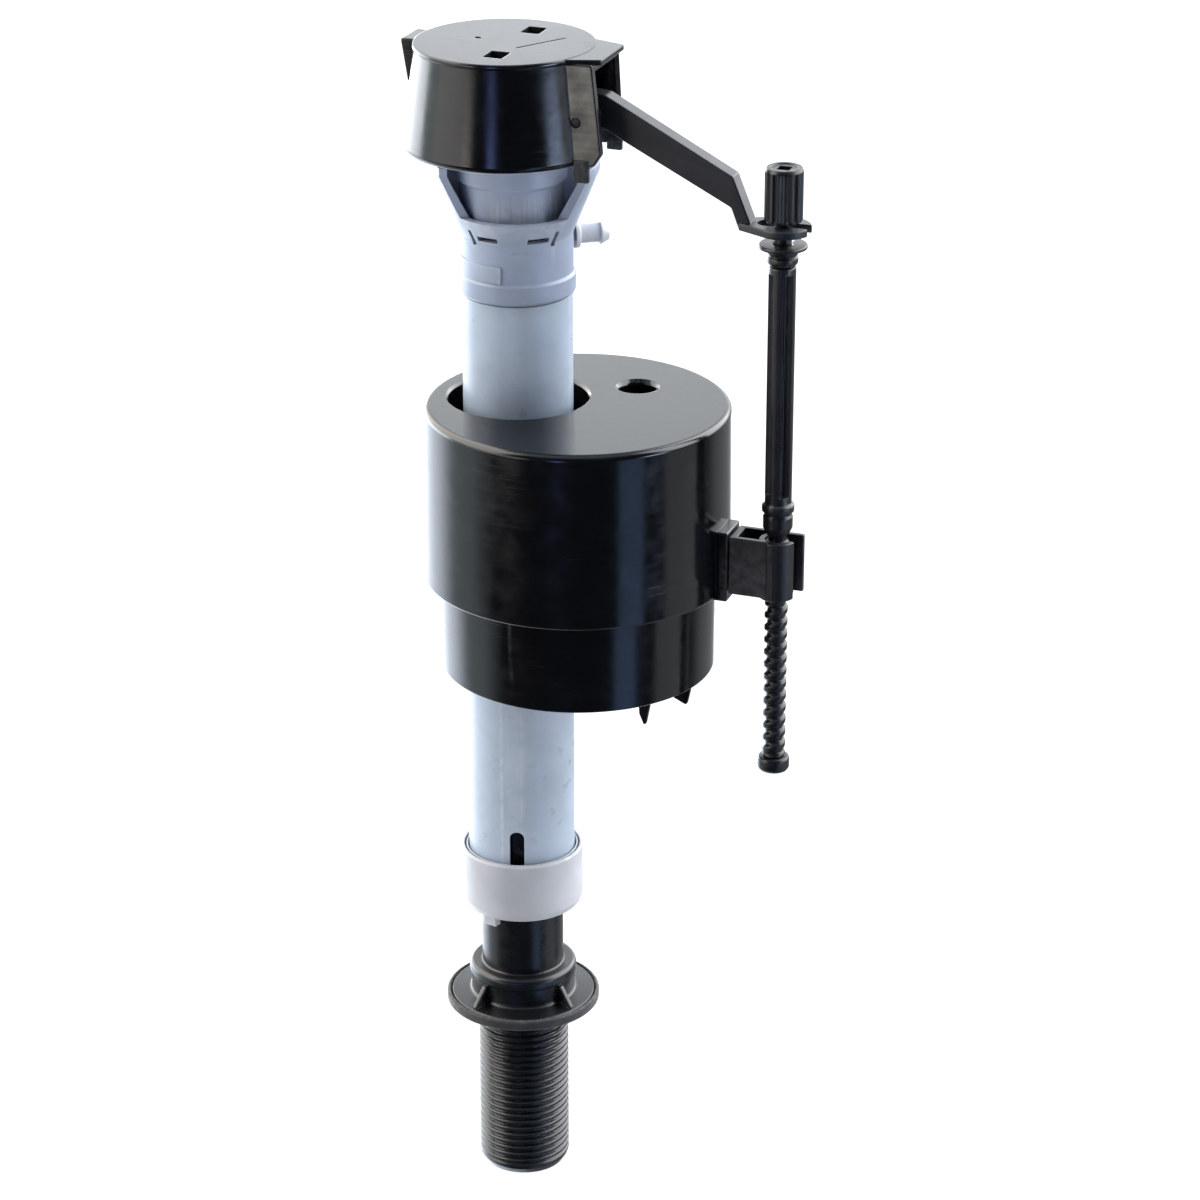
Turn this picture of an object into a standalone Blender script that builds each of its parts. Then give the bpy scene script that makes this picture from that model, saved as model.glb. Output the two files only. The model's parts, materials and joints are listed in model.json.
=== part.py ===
"""Toilet fill valve: float-cup ballcock with a telescopic riser and a screw level adjuster.

Frame: origin on the shank's axis at the underside of the tank washer, which is where the valve
seats on the tank floor.  +Z runs up the riser and +X points from the riser to the adjusting rod.
Every size below is in metres, written as millimetres times MM.
"""
import math

import bmesh
import bpy
from mathutils import Matrix, Vector

MM = 0.001
GAP = 0.3 * MM                    # clearance between touching pieces

# --- shank, flange and telescopic supply pipe -------------------------------------------
SHANK_R = 11.11 * MM              # 7/8-14 thread
SHANK_PITCH = 1.814 * MM
SHANK_DEPTH = 0.62 * MM
SHANK_BOTTOM = -45.0 * MM
SHANK_BORE_R = 7.5 * MM
THREAD_TOP = -3.6 * MM
THREAD_BOTTOM = -42.6 * MM
FLANGE_R = 17.6 * MM
COLLAR_R = 13.1 * MM
COLLAR_TOP = 10.9 * MM
WASHER_R = 18.7 * MM
PIPE_R = 9.95 * MM
PIPE_TOP = 156.0 * MM
SEAL_POCKET_R = 8.9 * MM
SEAL_POCKET_FLOOR = 150.0 * MM

# --- riser and lock ring ----------------------------------------------------------------
RISER_R = 12.8 * MM
RISER_BORE_R = 11.4 * MM
RISER_BOTTOM = 30.0 * MM
RISER_TOP = 183.2 * MM
KEY_SLOT_WIDTH = 3.5 * MM
KEY_SLOT_TOP = 50.9 * MM
KEY_SLOT_AZIMUTH = -74.0
LOCK_RING_R = 14.8 * MM
LOCK_RING_BOTTOM = 27.1 * MM
LOCK_RING_TOP = 42.6 * MM

# --- valve body and its water way --------------------------------------------------------
SUPPLY_R = 6.9 * MM
SUPPLY_BORE_R = 5.4 * MM
SUPPLY_BOTTOM = 36.0 * MM
SUPPLY_TOP = 212.0 * MM
SLEEVE_R = 12.95 * MM
FLARE_R = 19.0 * MM
FLARE_BOTTOM = 198.2 * MM
FLARE_TOP = 212.5 * MM
SHELL_WALL = 1.6 * MM
HEAD_X = -2.6 * MM                # cap, seat and diaphragm share this offset axis
CHAMBER_X = -1.1 * MM
CHAMBER_BAND_R = 12.9 * MM
CHAMBER_R = 12.0 * MM
CHAMBER_BORE_R = 10.4 * MM
HEAD_FLANGE_R = 17.4 * MM
HEAD_SEAT_Z = 217.0 * MM
WINDOW_DEPTH = 9.0 * MM
NECK_FACE = -73.0                 # azimuth that one of the neck's two windows faces
WINDOW_SILL = 203.0 * MM
NIPPLE_AZIMUTH = 35.0
NIPPLE_Z = 195.6 * MM
NIPPLE_TIP = 21.5 * MM

# --- cap and lever -----------------------------------------------------------------------
CAP_TOP = 241.4 * MM
CAP_BOTTOM = 217.4 * MM
CAP_TOP_R = 20.3 * MM
CAP_BOTTOM_R = 23.5 * MM
CAP_WALL = 1.5 * MM
CAP_SEGMENTS = 36
CAP_FLOOR = 222.5 * MM            # disc that carries the pilot nozzle
HOUSING_HALF = 9.2 * MM           # lever housing on the cap's +X side, at its top
HOUSING_FLARE = 0.1               # its side walls lean out this much per unit of height
TAB_X = 23.3 * MM
TAB_HALF = 7.3 * MM               # the tab tapers to this at its end
TAB_ROOT_HALF = 10.0 * MM
PIVOT = Vector((18.3, 0.0, 227.3)) * MM
PIN_R = 1.1 * MM
LEVER_HALF = 2.2 * MM
FOOT_BOTTOM = 204.0 * MM
FOOT_TOP = 205.8 * MM
FOOT_R = 6.4 * MM
FOOT_SLIDE = 3.6 * MM             # the rod shifts this far in the foot as the lever swings

# --- adjusting rod and float -------------------------------------------------------------
ROD_X = 63.65 * MM
ROD_STEM_R = 3.1 * MM
ROD_BORE_GAP = 0.25 * MM
ROD_THREAD_R = 2.7 * MM
ROD_THREAD_DEPTH = 0.6 * MM
ROD_PITCH = 3.1 * MM
ROD_THREAD_TOP = 130.2 * MM
ROD_THREAD_BOTTOM = 76.3 * MM
ROD_BOTTOM = 72.4 * MM
STEM_TOP = 196.2 * MM
STEM_BOTTOM = 139.7 * MM
NECK_R = 2.0 * MM
KNOB_R = 4.35 * MM
KNOB_BOTTOM = 206.7 * MM
KNOB_TOP = 219.1 * MM
KNOB_GROOVES = 12
FLOAT_X = 14.7 * MM
FLOAT_R = 35.7 * MM
FLOAT_STEP_R = 36.1 * MM
FLOAT_SKIRT_R = 32.3 * MM
FLOAT_TOP = 157.7 * MM
FLOAT_STEP = 115.6 * MM
FLOAT_BOTTOM = 93.4 * MM
FLOAT_WALL = 1.6 * MM
GUIDE_R = 16.2 * MM
POCKET = Vector((24.0, 15.1, 0.0)) * MM
POCKET_R = 4.3 * MM
CLIP_BOTTOM = 116.4 * MM
CLIP_TOP = 131.0 * MM

# Colour (linear), roughness, metallic for each kind of material.
BLACK_GLOSS = ((0.012, 0.012, 0.014), 0.22, 0.0)
BLACK_SATIN = ((0.016, 0.016, 0.019), 0.42, 0.0)
SLATE = ((0.032, 0.036, 0.042), 0.38, 0.0)
BODY_GREY = ((0.36, 0.39, 0.50), 0.35, 0.0)
OFF_WHITE = ((0.68, 0.68, 0.66), 0.42, 0.0)
RUBBER = ((0.022, 0.022, 0.022), 0.7, 0.0)
RED_RUBBER = ((0.32, 0.05, 0.035), 0.65, 0.0)
STEEL = ((0.62, 0.62, 0.63), 0.25, 1.0)


# --- shared helpers ------------------------------------------------------------------------
def clear_scene():
    for obj in list(bpy.data.objects):
        bpy.data.objects.remove(obj, do_unlink=True)


def collection(name):
    made = bpy.data.collections.new(name)
    bpy.context.scene.collection.children.link(made)
    return made


def material(name, look):
    colour, roughness, metallic = look
    made = bpy.data.materials.new(name)
    made.use_nodes = True
    shader = made.node_tree.nodes["Principled BSDF"]
    shader.inputs["Base Color"].default_value = (*colour, 1.0)
    shader.inputs["Roughness"].default_value = roughness
    shader.inputs["Metallic"].default_value = metallic
    return made


def new_object(name, mesh, location=(0.0, 0.0, 0.0)):
    obj = bpy.data.objects.new(name, mesh)
    obj.location = location
    CUTTERS.objects.link(obj)
    obj.hide_render = True
    obj.display_type = "WIRE"
    return obj


def finish(obj, look, parent=None):
    """Make a helper solid a part: move it to the valve's collection, colour it and parent it."""
    CUTTERS.objects.unlink(obj)
    PARTS.objects.link(obj)
    obj.hide_render = False
    obj.display_type = "TEXTURED"
    obj.data.materials.append(material(obj.name, look))
    obj.data.shade_smooth()
    if parent is not None:
        bpy.context.view_layer.update()
        obj.parent = parent
        obj.matrix_parent_inverse = parent.matrix_world.inverted()
    return obj


def boolean(obj, tool, operation):
    modifier = obj.modifiers.new(tool.name, "BOOLEAN")
    modifier.operation = operation
    modifier.solver = "EXACT"
    modifier.object = tool


def join(obj, *tools):
    for tool in tools:
        boolean(obj, tool, "UNION")


def cut(obj, *tools):
    for tool in tools:
        boolean(obj, tool, "DIFFERENCE")


def turned(name, outline, centre=(0.0, 0.0), segments=40):
    """Solid of revolution about a vertical axis.  outline holds (radius, z) points that run down
    the outer side; it closes on itself, or on the axis where both its ends have radius 0."""
    mesh = bpy.data.meshes.new(name)
    points = [(radius, 0.0, z) for radius, z in outline]
    edges = [(i, i + 1) for i in range(len(points) - 1)]
    if outline[0][0] > 0.0:
        edges.append((len(points) - 1, 0))
    mesh.from_pydata(points, edges, [])
    obj = new_object(name, mesh, (*centre, 0.0))
    screw = obj.modifiers.new("Turn", "SCREW")
    screw.steps = segments
    screw.render_steps = segments
    screw.use_merge_vertices = True
    screw.merge_threshold = 0.00001
    screw.use_smooth_shade = True
    return obj


def ring(name, inner, outer, low, high, centre=(0.0, 0.0), segments=40):
    outline = [(outer, high), (outer, low), (inner, low), (inner, high)]
    return turned(name, outline, centre, segments)


def cylinder(name, radius, low, high, centre=(0.0, 0.0), segments=32):
    return turned(name, [(0.0, high), (radius, high), (radius, low), (0.0, low)], centre, segments)


def cross_cylinder(name, radius, half_length, centre, segments=20):
    """Cylinder along Y about the given centre."""
    bm = bmesh.new()
    bmesh.ops.create_cone(bm, cap_ends=True, segments=segments, radius1=radius, radius2=radius,
                          depth=2.0 * half_length, matrix=Matrix.Rotation(math.pi / 2, 4, "X"))
    mesh = bpy.data.meshes.new(name)
    bm.to_mesh(mesh)
    bm.free()
    return new_object(name, mesh, centre)


def block(name, low, high, turn_z=0.0):
    """Box between two corners, then turned about the world Z axis."""
    low, high = Vector(low), Vector(high)
    size = Matrix.Diagonal((*(high - low), 1.0))
    place = Matrix.Rotation(math.radians(turn_z), 4, "Z") @ Matrix.Translation((low + high) / 2) @ size
    bm = bmesh.new()
    bmesh.ops.create_cube(bm, size=1.0, matrix=place)
    mesh = bpy.data.meshes.new(name)
    bm.to_mesh(mesh)
    bm.free()
    return new_object(name, mesh)


def plate(name, outline, thickness, upright, middle=0.0, turn_z=0.0):
    """Flat outline with a thickness.  An upright plate's outline holds (x, z) points and its
    thickness runs along Y about y = middle; a lying one holds (x, y) points and runs along Z."""
    curve = bpy.data.curves.new(name, "CURVE")
    curve.dimensions = "2D"
    curve.fill_mode = "BOTH"
    curve.extrude = thickness / 2
    spline = curve.splines.new("POLY")
    spline.points.add(len(outline) - 1)
    for point, (u, v) in zip(spline.points, outline):
        point.co = (u, v, 0.0, 1.0)
    spline.use_cyclic_u = True
    source = bpy.data.objects.new(name, curve)
    if upright:
        place = Matrix.Translation((0.0, middle, 0.0)) @ Matrix.Rotation(math.pi / 2, 4, "X")
    else:
        place = Matrix.Translation((0.0, 0.0, middle))
    CUTTERS.objects.link(source)
    mesh = baked_mesh(source)
    mesh.transform(Matrix.Rotation(math.radians(turn_z), 4, "Z") @ place)
    bpy.data.objects.remove(source, do_unlink=True)
    return new_object(name, mesh)


def baked_mesh(obj):
    """The object's evaluated mesh in its own space, welded."""
    bpy.context.view_layer.update()
    evaluated = obj.evaluated_get(bpy.context.evaluated_depsgraph_get())
    mesh = bpy.data.meshes.new_from_object(evaluated)
    bm = bmesh.new()
    bm.from_mesh(mesh)
    bmesh.ops.remove_doubles(bm, verts=bm.verts, dist=0.00001)
    bmesh.ops.recalc_face_normals(bm, faces=bm.faces)
    bm.to_mesh(mesh)
    bm.free()
    return mesh


def bake(obj):
    """Replace an object's modifiers with the mesh they make."""
    mesh = baked_mesh(obj)
    obj.modifiers.clear()
    obj.data = mesh
    return obj


def set_origin(obj, point):
    """Put a modifier-free object's origin at a point, without moving its shape."""
    obj.data.transform(Matrix.Translation(obj.location - Vector(point)))
    obj.location = point


def thread_levels(top, bottom, pitch, per_pitch):
    """Heights that give a turned profile per_pitch points for each turn of a thread."""
    count = math.ceil((top - bottom) / pitch * per_pitch)
    return [top + (bottom - top) * i / count for i in range(count + 1)]


def cut_thread(obj, top, bottom, radius, depth, pitch):
    """Press a right-hand V thread into the outer wall of a baked, turned mesh: a vertex's radius
    follows its height and its angle, and fades to the full radius at both ends."""
    for vertex in obj.data.vertices:
        x, y, z = vertex.co
        if math.hypot(x, y) < radius - depth / 2 or not bottom - MM / 100 < z < top + MM / 100:
            continue
        turn = (z / pitch - math.atan2(y, x) / (2 * math.pi)) % 1.0
        fade = min(1.0, (top - z) / (pitch / 2), (z - bottom) / (pitch / 2))
        wanted = radius - depth * abs(2.0 * turn - 1.0) * max(0.0, fade)
        scale = wanted / math.hypot(x, y)
        vertex.co = (x * scale, y * scale, z)


def arc(centre_x, centre_y, radius, start, end, count):
    """Points on a circle from one angle to another, in degrees."""
    angles = [math.radians(start + (end - start) * i / count) for i in range(count + 1)]
    return [(centre_x + radius * math.cos(a), centre_y + radius * math.sin(a)) for a in angles]


# --- shank group ---------------------------------------------------------------------------
def make_shank():
    """Threaded tank shank, base flange with its collar, and the pipe that the riser slides on."""
    outer = [(SEAL_POCKET_R, PIPE_TOP), (PIPE_R, PIPE_TOP), (PIPE_R, COLLAR_TOP),
             (11.9 * MM, COLLAR_TOP), (12.8 * MM, 10.3 * MM), (COLLAR_R, 9.3 * MM),
             (COLLAR_R, 8.2 * MM), (12.6 * MM, 7.8 * MM), (12.6 * MM, 3.0 * MM),
             (FLANGE_R, 2.5 * MM), (FLANGE_R, 1.3 * MM), (10.9 * MM, 1.3 * MM),
             (10.9 * MM, THREAD_TOP + 0.3 * MM)]
    levels = thread_levels(THREAD_TOP, THREAD_BOTTOM, SHANK_PITCH, 3)
    outer += [(SHANK_R, z) for z in levels]
    outer += [(10.0 * MM, SHANK_BOTTOM), (SHANK_BORE_R, SHANK_BOTTOM)]
    inner = [(SHANK_BORE_R, SEAL_POCKET_FLOOR), (SEAL_POCKET_R, SEAL_POCKET_FLOOR)]
    shank = bake(turned("threaded_shank", outer + inner, segments=20))
    cut_thread(shank, THREAD_TOP, THREAD_BOTTOM, SHANK_R, SHANK_DEPTH, SHANK_PITCH)
    rib = [(12.0 * MM, 7.5 * MM), (12.0 * MM, 2.0 * MM), (17.0 * MM, 2.0 * MM), (17.0 * MM, 3.1 * MM),
           (13.4 * MM, 7.5 * MM)]
    for index in range(4):
        join(shank, plate(f"flange_rib_{index}", rib, 1.1 * MM, True, turn_z=-114.0 + 90.0 * index))
    return finish(shank, SLATE)


def make_washer(parent):
    """Rubber tank washer with a shallow lip around the flange."""
    lip = FLANGE_R + GAP
    outline = [(18.2 * MM, 2.6 * MM), (WASHER_R, 2.2 * MM), (WASHER_R, 0.3 * MM), (18.4 * MM, 0.0),
               (11.5 * MM, 0.0), (11.5 * MM, 1.0 * MM), (lip, 1.0 * MM), (lip, 2.6 * MM)]
    return finish(turned("tank_washer", outline, segments=32), RUBBER, parent)


def make_pipe_seal(parent):
    """Lip seal at the top of the pipe, around the supply tube."""
    inner, outer = SUPPLY_R + GAP, SEAL_POCKET_R - GAP
    low, high = SEAL_POCKET_FLOOR + GAP, PIPE_TOP - GAP
    outline = [(outer, high), (outer, low), (inner, low), (inner, high), (inner + 0.4 * MM, high),
               (inner + 0.7 * MM, low + 2.6 * MM), (outer - 0.4 * MM, high)]
    return finish(turned("pipe_seal", outline, segments=24), RUBBER, parent)


def make_guide_ring(parent):
    """Snap ring that keeps the seal in and centres the pipe in the riser's bore."""
    outer, inner = RISER_BORE_R - GAP, SUPPLY_R + GAP
    skirt, low, high = PIPE_R + GAP, 151.0 * MM, 159.3 * MM
    outline = [(outer, high), (outer, low), (skirt, low), (skirt, PIPE_TOP + GAP),
               (inner, PIPE_TOP + GAP), (inner, high)]
    return finish(turned("pipe_guide_ring", outline, segments=28), OFF_WHITE, parent)


# --- riser group ---------------------------------------------------------------------------
def make_riser(parent):
    """Outer riser tube with two keyed slots at its foot."""
    riser = ring("riser_tube", RISER_BORE_R, RISER_R, RISER_BOTTOM, RISER_TOP, segments=32)
    half = KEY_SLOT_WIDTH / 2
    cut(riser, block("key_slot", (-20 * MM, -half, RISER_BOTTOM - MM), (20 * MM, half, KEY_SLOT_TOP),
                     KEY_SLOT_AZIMUTH))
    return finish(riser, BODY_GREY, parent)


def make_lock_ring(parent):
    """Twist ring around the riser's foot, with a small stop lug under its edge."""
    bore = RISER_R + GAP
    outline = [(13.9 * MM, LOCK_RING_TOP), (LOCK_RING_R, LOCK_RING_TOP - 0.7 * MM),
               (LOCK_RING_R, LOCK_RING_BOTTOM + 2.0 * MM), (14.2 * MM, LOCK_RING_BOTTOM + 0.5 * MM),
               (13.2 * MM, LOCK_RING_BOTTOM), (10.4 * MM, LOCK_RING_BOTTOM),
               (10.4 * MM, RISER_BOTTOM - GAP), (bore, RISER_BOTTOM - GAP), (bore, LOCK_RING_TOP)]
    lock = turned("lock_ring", outline, segments=30)
    join(lock, block("lock_lug", (11.6 * MM, -1.8 * MM, 25.2 * MM), (13.8 * MM, 1.8 * MM, 28.4 * MM),
                     -104.0))
    return finish(lock, OFF_WHITE, parent)


def make_supply_tube(parent):
    tube = ring("supply_tube", SUPPLY_BORE_R, SUPPLY_R, SUPPLY_BOTTOM, SUPPLY_TOP, segments=24)
    return finish(tube, OFF_WHITE, parent)


def make_valve_seat(parent):
    """Seat insert: a disc on the supply tube's end with a raised nozzle."""
    low = SUPPLY_TOP + GAP
    outline = [(4.8 * MM, 217.9 * MM), (5.8 * MM, 217.2 * MM), (5.8 * MM, 213.8 * MM),
               (8.7 * MM, 213.8 * MM), (8.7 * MM, low), (4.0 * MM, low), (4.0 * MM, 217.9 * MM)]
    return finish(turned("valve_seat", outline, (HEAD_X, 0.0), 24), OFF_WHITE, parent)


def body_shell():
    """Sleeve, bead and flare as one turned wall, opened by a window on each side."""
    outline = [(FLARE_R, 214.5 * MM), (FLARE_R, FLARE_TOP), (13.2 * MM, FLARE_BOTTOM),
               (SLEEVE_R, 197.6 * MM), (SLEEVE_R, 188.3 * MM), (13.5 * MM, 187.9 * MM),
               (13.5 * MM, 184.1 * MM), (13.1 * MM, RISER_TOP + GAP), (11.1 * MM, RISER_TOP + GAP),
               (11.1 * MM, 174.0 * MM), (9.8 * MM, 174.0 * MM), (9.8 * MM, 184.5 * MM),
               (11.0 * MM, 186.0 * MM), (11.0 * MM, 197.5 * MM),
               (FLARE_R - SHELL_WALL, FLARE_TOP), (FLARE_R - SHELL_WALL, 214.5 * MM)]
    shell = turned("valve_body", outline, segments=32)
    far = 25 * MM
    for side in (-1, 1):
        near, edge = sorted((side * WINDOW_DEPTH, side * far))
        cut(shell, block(f"window_{side}", (-far, near, WINDOW_SILL), (far, edge, 216 * MM),
                         NECK_FACE + 90.0))
    return shell


def body_chamber():
    """Drain chamber under the head, trimmed where it would leave the flare."""
    outline = [(CHAMBER_BAND_R, 216.0 * MM), (CHAMBER_BAND_R, 210.3 * MM), (CHAMBER_R, 210.0 * MM),
               (CHAMBER_R - 0.3 * MM, 199.5 * MM), (CHAMBER_BORE_R, 199.5 * MM), (CHAMBER_BORE_R, 216.0 * MM)]
    chamber = turned("chamber", outline, (CHAMBER_X, 0.0), 34)
    inset = 0.7 * MM
    envelope = turned("flare_envelope", [(0.0, 224 * MM), (30 * MM, 224 * MM), (30 * MM, 212 * MM),
                                         (FLARE_R - inset, 212 * MM), (13.2 * MM - inset, FLARE_BOTTOM),
                                         (0.0, FLARE_BOTTOM)], segments=30)
    boolean(chamber, envelope, "INTERSECT")
    return chamber


def head_flange():
    """Flange that seats the diaphragm, with the upstand around its rim."""
    outline = [(17.2 * MM, 221.0 * MM), (17.2 * MM, HEAD_SEAT_Z), (HEAD_FLANGE_R, HEAD_SEAT_Z),
               (HEAD_FLANGE_R, 215.4 * MM), (11.0 * MM, 215.4 * MM), (11.0 * MM, HEAD_SEAT_Z),
               (15.4 * MM, HEAD_SEAT_Z), (15.4 * MM, 221.0 * MM)]
    return bake(turned("head_flange", outline, (HEAD_X, 0.0), 34))


def catch_slots():
    """Snap slots around the neck: level ones beside the middle, leaning ones outside them."""
    slots = []
    for face in (NECK_FACE, NECK_FACE + 180.0):
        for side in (-1, 1):
            level = face + side * 25.8
            slots.append(block(f"level_slot_{level:.0f}", (10 * MM, -2.6 * MM, 198.2 * MM),
                               (16 * MM, 2.6 * MM, 199.4 * MM), level))
            lean = face + side * 44.1
            slots.append(block(f"upright_slot_{lean:.0f}", (10 * MM, -0.6 * MM, 197.2 * MM),
                               (16 * MM, 0.6 * MM, 200.2 * MM), lean))
    return slots


def make_valve_body(parent):
    body = body_shell()
    join(body, body_chamber(), head_flange())
    boss = ring("tube_boss", SUPPLY_R + GAP, 9.0 * MM, 205 * MM, SUPPLY_TOP, segments=28)
    join(boss, block("boss_web_x", (-12.2 * MM, -MM, 205.5 * MM), (9.9 * MM, MM, 211.5 * MM)))
    join(boss, block("boss_web_y", (-MM, -11.0 * MM, 205.5 * MM), (MM, 11.0 * MM, 211.5 * MM)))
    cut(boss, cylinder("boss_bore", SUPPLY_R + GAP, 203 * MM, 214 * MM, segments=28))
    join(body, boss)
    cut(body, *catch_slots())
    hole = block("nipple_hole", (9 * MM, -1.9 * MM, NIPPLE_Z - 1.9 * MM),
                 (16 * MM, 1.9 * MM, NIPPLE_Z + 1.9 * MM), NIPPLE_AZIMUTH)
    cut(body, hole)
    return finish(body, BODY_GREY, parent)


def make_refill_nipple(parent):
    """Barbed outlet for the bowl refill hose, turned about its own axis and laid on its side."""
    flange = SLEEVE_R + GAP
    outline = [(1.3 * MM, NIPPLE_TIP), (1.8 * MM, NIPPLE_TIP), (2.9 * MM, NIPPLE_TIP - 2.0 * MM),
               (2.3 * MM, NIPPLE_TIP - 2.2 * MM), (2.3 * MM, flange + 1.2 * MM),
               (3.3 * MM, flange + 1.2 * MM), (3.3 * MM, flange + 0.1 * MM), (1.6 * MM, flange + 0.1 * MM),
               (1.6 * MM, 11.3 * MM), (0.9 * MM, 11.3 * MM), (0.9 * MM, flange), (1.3 * MM, flange + MM)]
    nipple = bake(turned("refill_nipple", outline, segments=14))
    lay = Matrix.Rotation(math.radians(NIPPLE_AZIMUTH), 4, "Z") @ Matrix.Rotation(math.pi / 2, 4, "Y")
    nipple.data.transform(Matrix.Translation((0.0, 0.0, NIPPLE_Z)) @ lay)
    return finish(nipple, OFF_WHITE, parent)


# --- cap group -----------------------------------------------------------------------------
def housing_outline(inset, low):
    """Side view of the lever housing, which leans with the skirt's taper."""
    top = CAP_TOP - MM - inset
    return [(6 * MM, low), (22.3 * MM - inset, low), (24.5 * MM - inset, 220.6 * MM),
            (21.7 * MM - inset, top), (6 * MM, top)]


def flared(housing):
    """Lean the housing's side walls outwards towards the bottom."""
    for vert in housing.data.vertices:
        side = 1.0 if vert.co.y > 0.0 else -1.0
        vert.co.y += side * HOUSING_FLARE * (CAP_TOP - vert.co.z)
    return housing


def cap_outside():
    """Skirt, top plate, lever housing, tab and rear ear as one solid."""
    outline = [(0.0, CAP_TOP), (CAP_TOP_R + 0.3 * MM, CAP_TOP), (CAP_TOP_R + 0.5 * MM, CAP_TOP - 0.9 * MM),
               (CAP_TOP_R + 0.1 * MM, CAP_TOP - 1.3 * MM), (CAP_BOTTOM_R, CAP_BOTTOM), (0.0, CAP_BOTTOM)]
    cap = turned("cap", outline, (HEAD_X, 0.0), CAP_SEGMENTS)
    housing = plate("housing", housing_outline(0.0, CAP_BOTTOM + 0.2 * MM), 2 * HOUSING_HALF, True)
    join(cap, flared(housing))
    root, end = (15.3 * MM, TAB_ROOT_HALF), (TAB_X, TAB_HALF)
    near = (8 * MM, TAB_ROOT_HALF)
    half_tab = [near, root, end]
    tab = half_tab + [(x, -y) for x, y in reversed(half_tab)]
    join(cap, plate("tab", tab[::-1], 1.3 * MM, False, CAP_TOP - 0.75 * MM))
    ear = [(-18.0, 241.2), (-18.0, 230.0), (-24.5, 231.5), (-25.4, 241.2)]
    join(cap, plate("rear_ear", [(x * MM, z * MM) for x, z in ear], 9 * MM, True))
    return cap


def cap_inside():
    """Space under the top plate and inside the housing, less the floor that crosses it."""
    inside_top = CAP_TOP - 1.6 * MM
    low = CAP_BOTTOM - 2 * MM
    outline = [(0.0, inside_top), (CAP_TOP_R - CAP_WALL, inside_top),
               (CAP_BOTTOM_R - CAP_WALL + 0.3 * MM, low), (0.0, low)]
    inside = turned("cap_cavity", outline, (HEAD_X, 0.0), CAP_SEGMENTS - 2)
    inner_half = HOUSING_HALF - CAP_WALL
    cavity = plate("housing_cavity", housing_outline(CAP_WALL, low - MM), 2 * inner_half, True)
    join(inside, flared(cavity))
    cut(inside, cap_floor())
    return inside


def cap_floor():
    """Disc across the cap with the diaphragm's clamping rib below and the pilot nozzle above."""
    top = CAP_FLOOR + 1.5 * MM
    edge = CAP_BOTTOM_R + 2 * MM
    outline = [(0.8 * MM, top + 0.5 * MM), (2.0 * MM, top + 0.5 * MM), (2.6 * MM, top), (edge, top),
               (edge, CAP_FLOOR), (15.0 * MM, CAP_FLOOR), (15.0 * MM, 220.6 * MM), (13.3 * MM, 220.6 * MM),
               (13.3 * MM, CAP_FLOOR), (0.8 * MM, CAP_FLOOR)]
    floor = turned("pilot_floor", outline, (HEAD_X, 0.0), CAP_SEGMENTS - 6)
    cut(floor, block("floor_end", (18.6 * MM, -20 * MM, 210 * MM), (40 * MM, 20 * MM, 230 * MM)))
    return floor


def make_cap(parent):
    cap = cap_outside()
    cut(cap, cap_inside())
    mouth = block("housing_mouth", (19.4 * MM, CAP_WALL - HOUSING_HALF, 210 * MM),
                  (30 * MM, HOUSING_HALF - CAP_WALL, CAP_TOP - 2.6 * MM))
    cut(cap, flared(mouth))
    cut(cap, cross_cylinder("pin_holes", PIN_R + GAP, 12 * MM, PIVOT, 12))
    for side in (-1, 1):
        cut(cap, block(f"top_window_{side}", (-2.3 * MM, side * 11.4 * MM - 2.9 * MM, 238 * MM),
                       (2.3 * MM, side * 11.4 * MM + 2.9 * MM, 243 * MM)))
        lug = block(f"bayonet_lug_{side}", (18.0 * MM, side * 10.75 * MM - 0.65 * MM, 213.9 * MM),
                    (21.6 * MM, side * 10.75 * MM + 0.65 * MM, 219.0 * MM))
        join(cap, lug)
    cut(cap, cylinder("vent", 0.8 * MM, 238 * MM, 243 * MM, (-9.4 * MM, MM), 12))
    return finish(cap, BLACK_GLOSS, parent)


def make_pivot_pin(parent):
    half = HOUSING_HALF + HOUSING_FLARE * (CAP_TOP - PIVOT.z) - 0.2 * MM
    return finish(cross_cylinder("pivot_pin", PIN_R, half, PIVOT), STEEL, parent)


def make_diaphragm(parent):
    """Rubber membrane with a rim bead, holed for the insert's stem and the metering pin."""
    low, high = HEAD_SEAT_Z + GAP, 220.3 * MM
    outline = [(15.0 * MM, high), (15.0 * MM, low), (13.2 * MM, low), (13.2 * MM, 218.2 * MM),
               (2.6 * MM, 218.2 * MM), (2.6 * MM, 219.3 * MM), (13.2 * MM, 219.3 * MM), (13.2 * MM, high)]
    membrane = turned("diaphragm", outline, (HEAD_X, 0.0), 28)
    cut(membrane, cylinder("pin_hole", 0.8 * MM, 217 * MM, 221 * MM, (HEAD_X, 3.15 * MM), 12))
    return finish(membrane, RED_RUBBER, parent)


def make_diaphragm_insert(parent):
    """Stiff centre of the diaphragm: a disc with a pilot hole and a stem into the seat."""
    outline = [(0.9 * MM, 221.2 * MM), (6.2 * MM, 221.2 * MM), (6.5 * MM, 220.8 * MM),
               (6.5 * MM, 219.6 * MM), (2.3 * MM, 219.6 * MM), (2.3 * MM, 214.5 * MM),
               (0.9 * MM, 214.5 * MM)]
    insert = turned("diaphragm_insert", outline, (HEAD_X, 0.0), 28)
    cut(insert, cylinder("metering_hole", 0.7 * MM, 219 * MM, 222 * MM, (HEAD_X, 3.15 * MM), 12))
    return finish(insert, OFF_WHITE, parent)


def make_metering_pin(parent):
    """Steel pin that meters water through the diaphragm and keeps the bleed hole clean."""
    pin = cylinder("metering_pin", 0.4 * MM, 214.6 * MM, CAP_FLOOR - GAP, (HEAD_X, 3.15 * MM), 12)
    return finish(pin, STEEL, parent)


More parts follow.
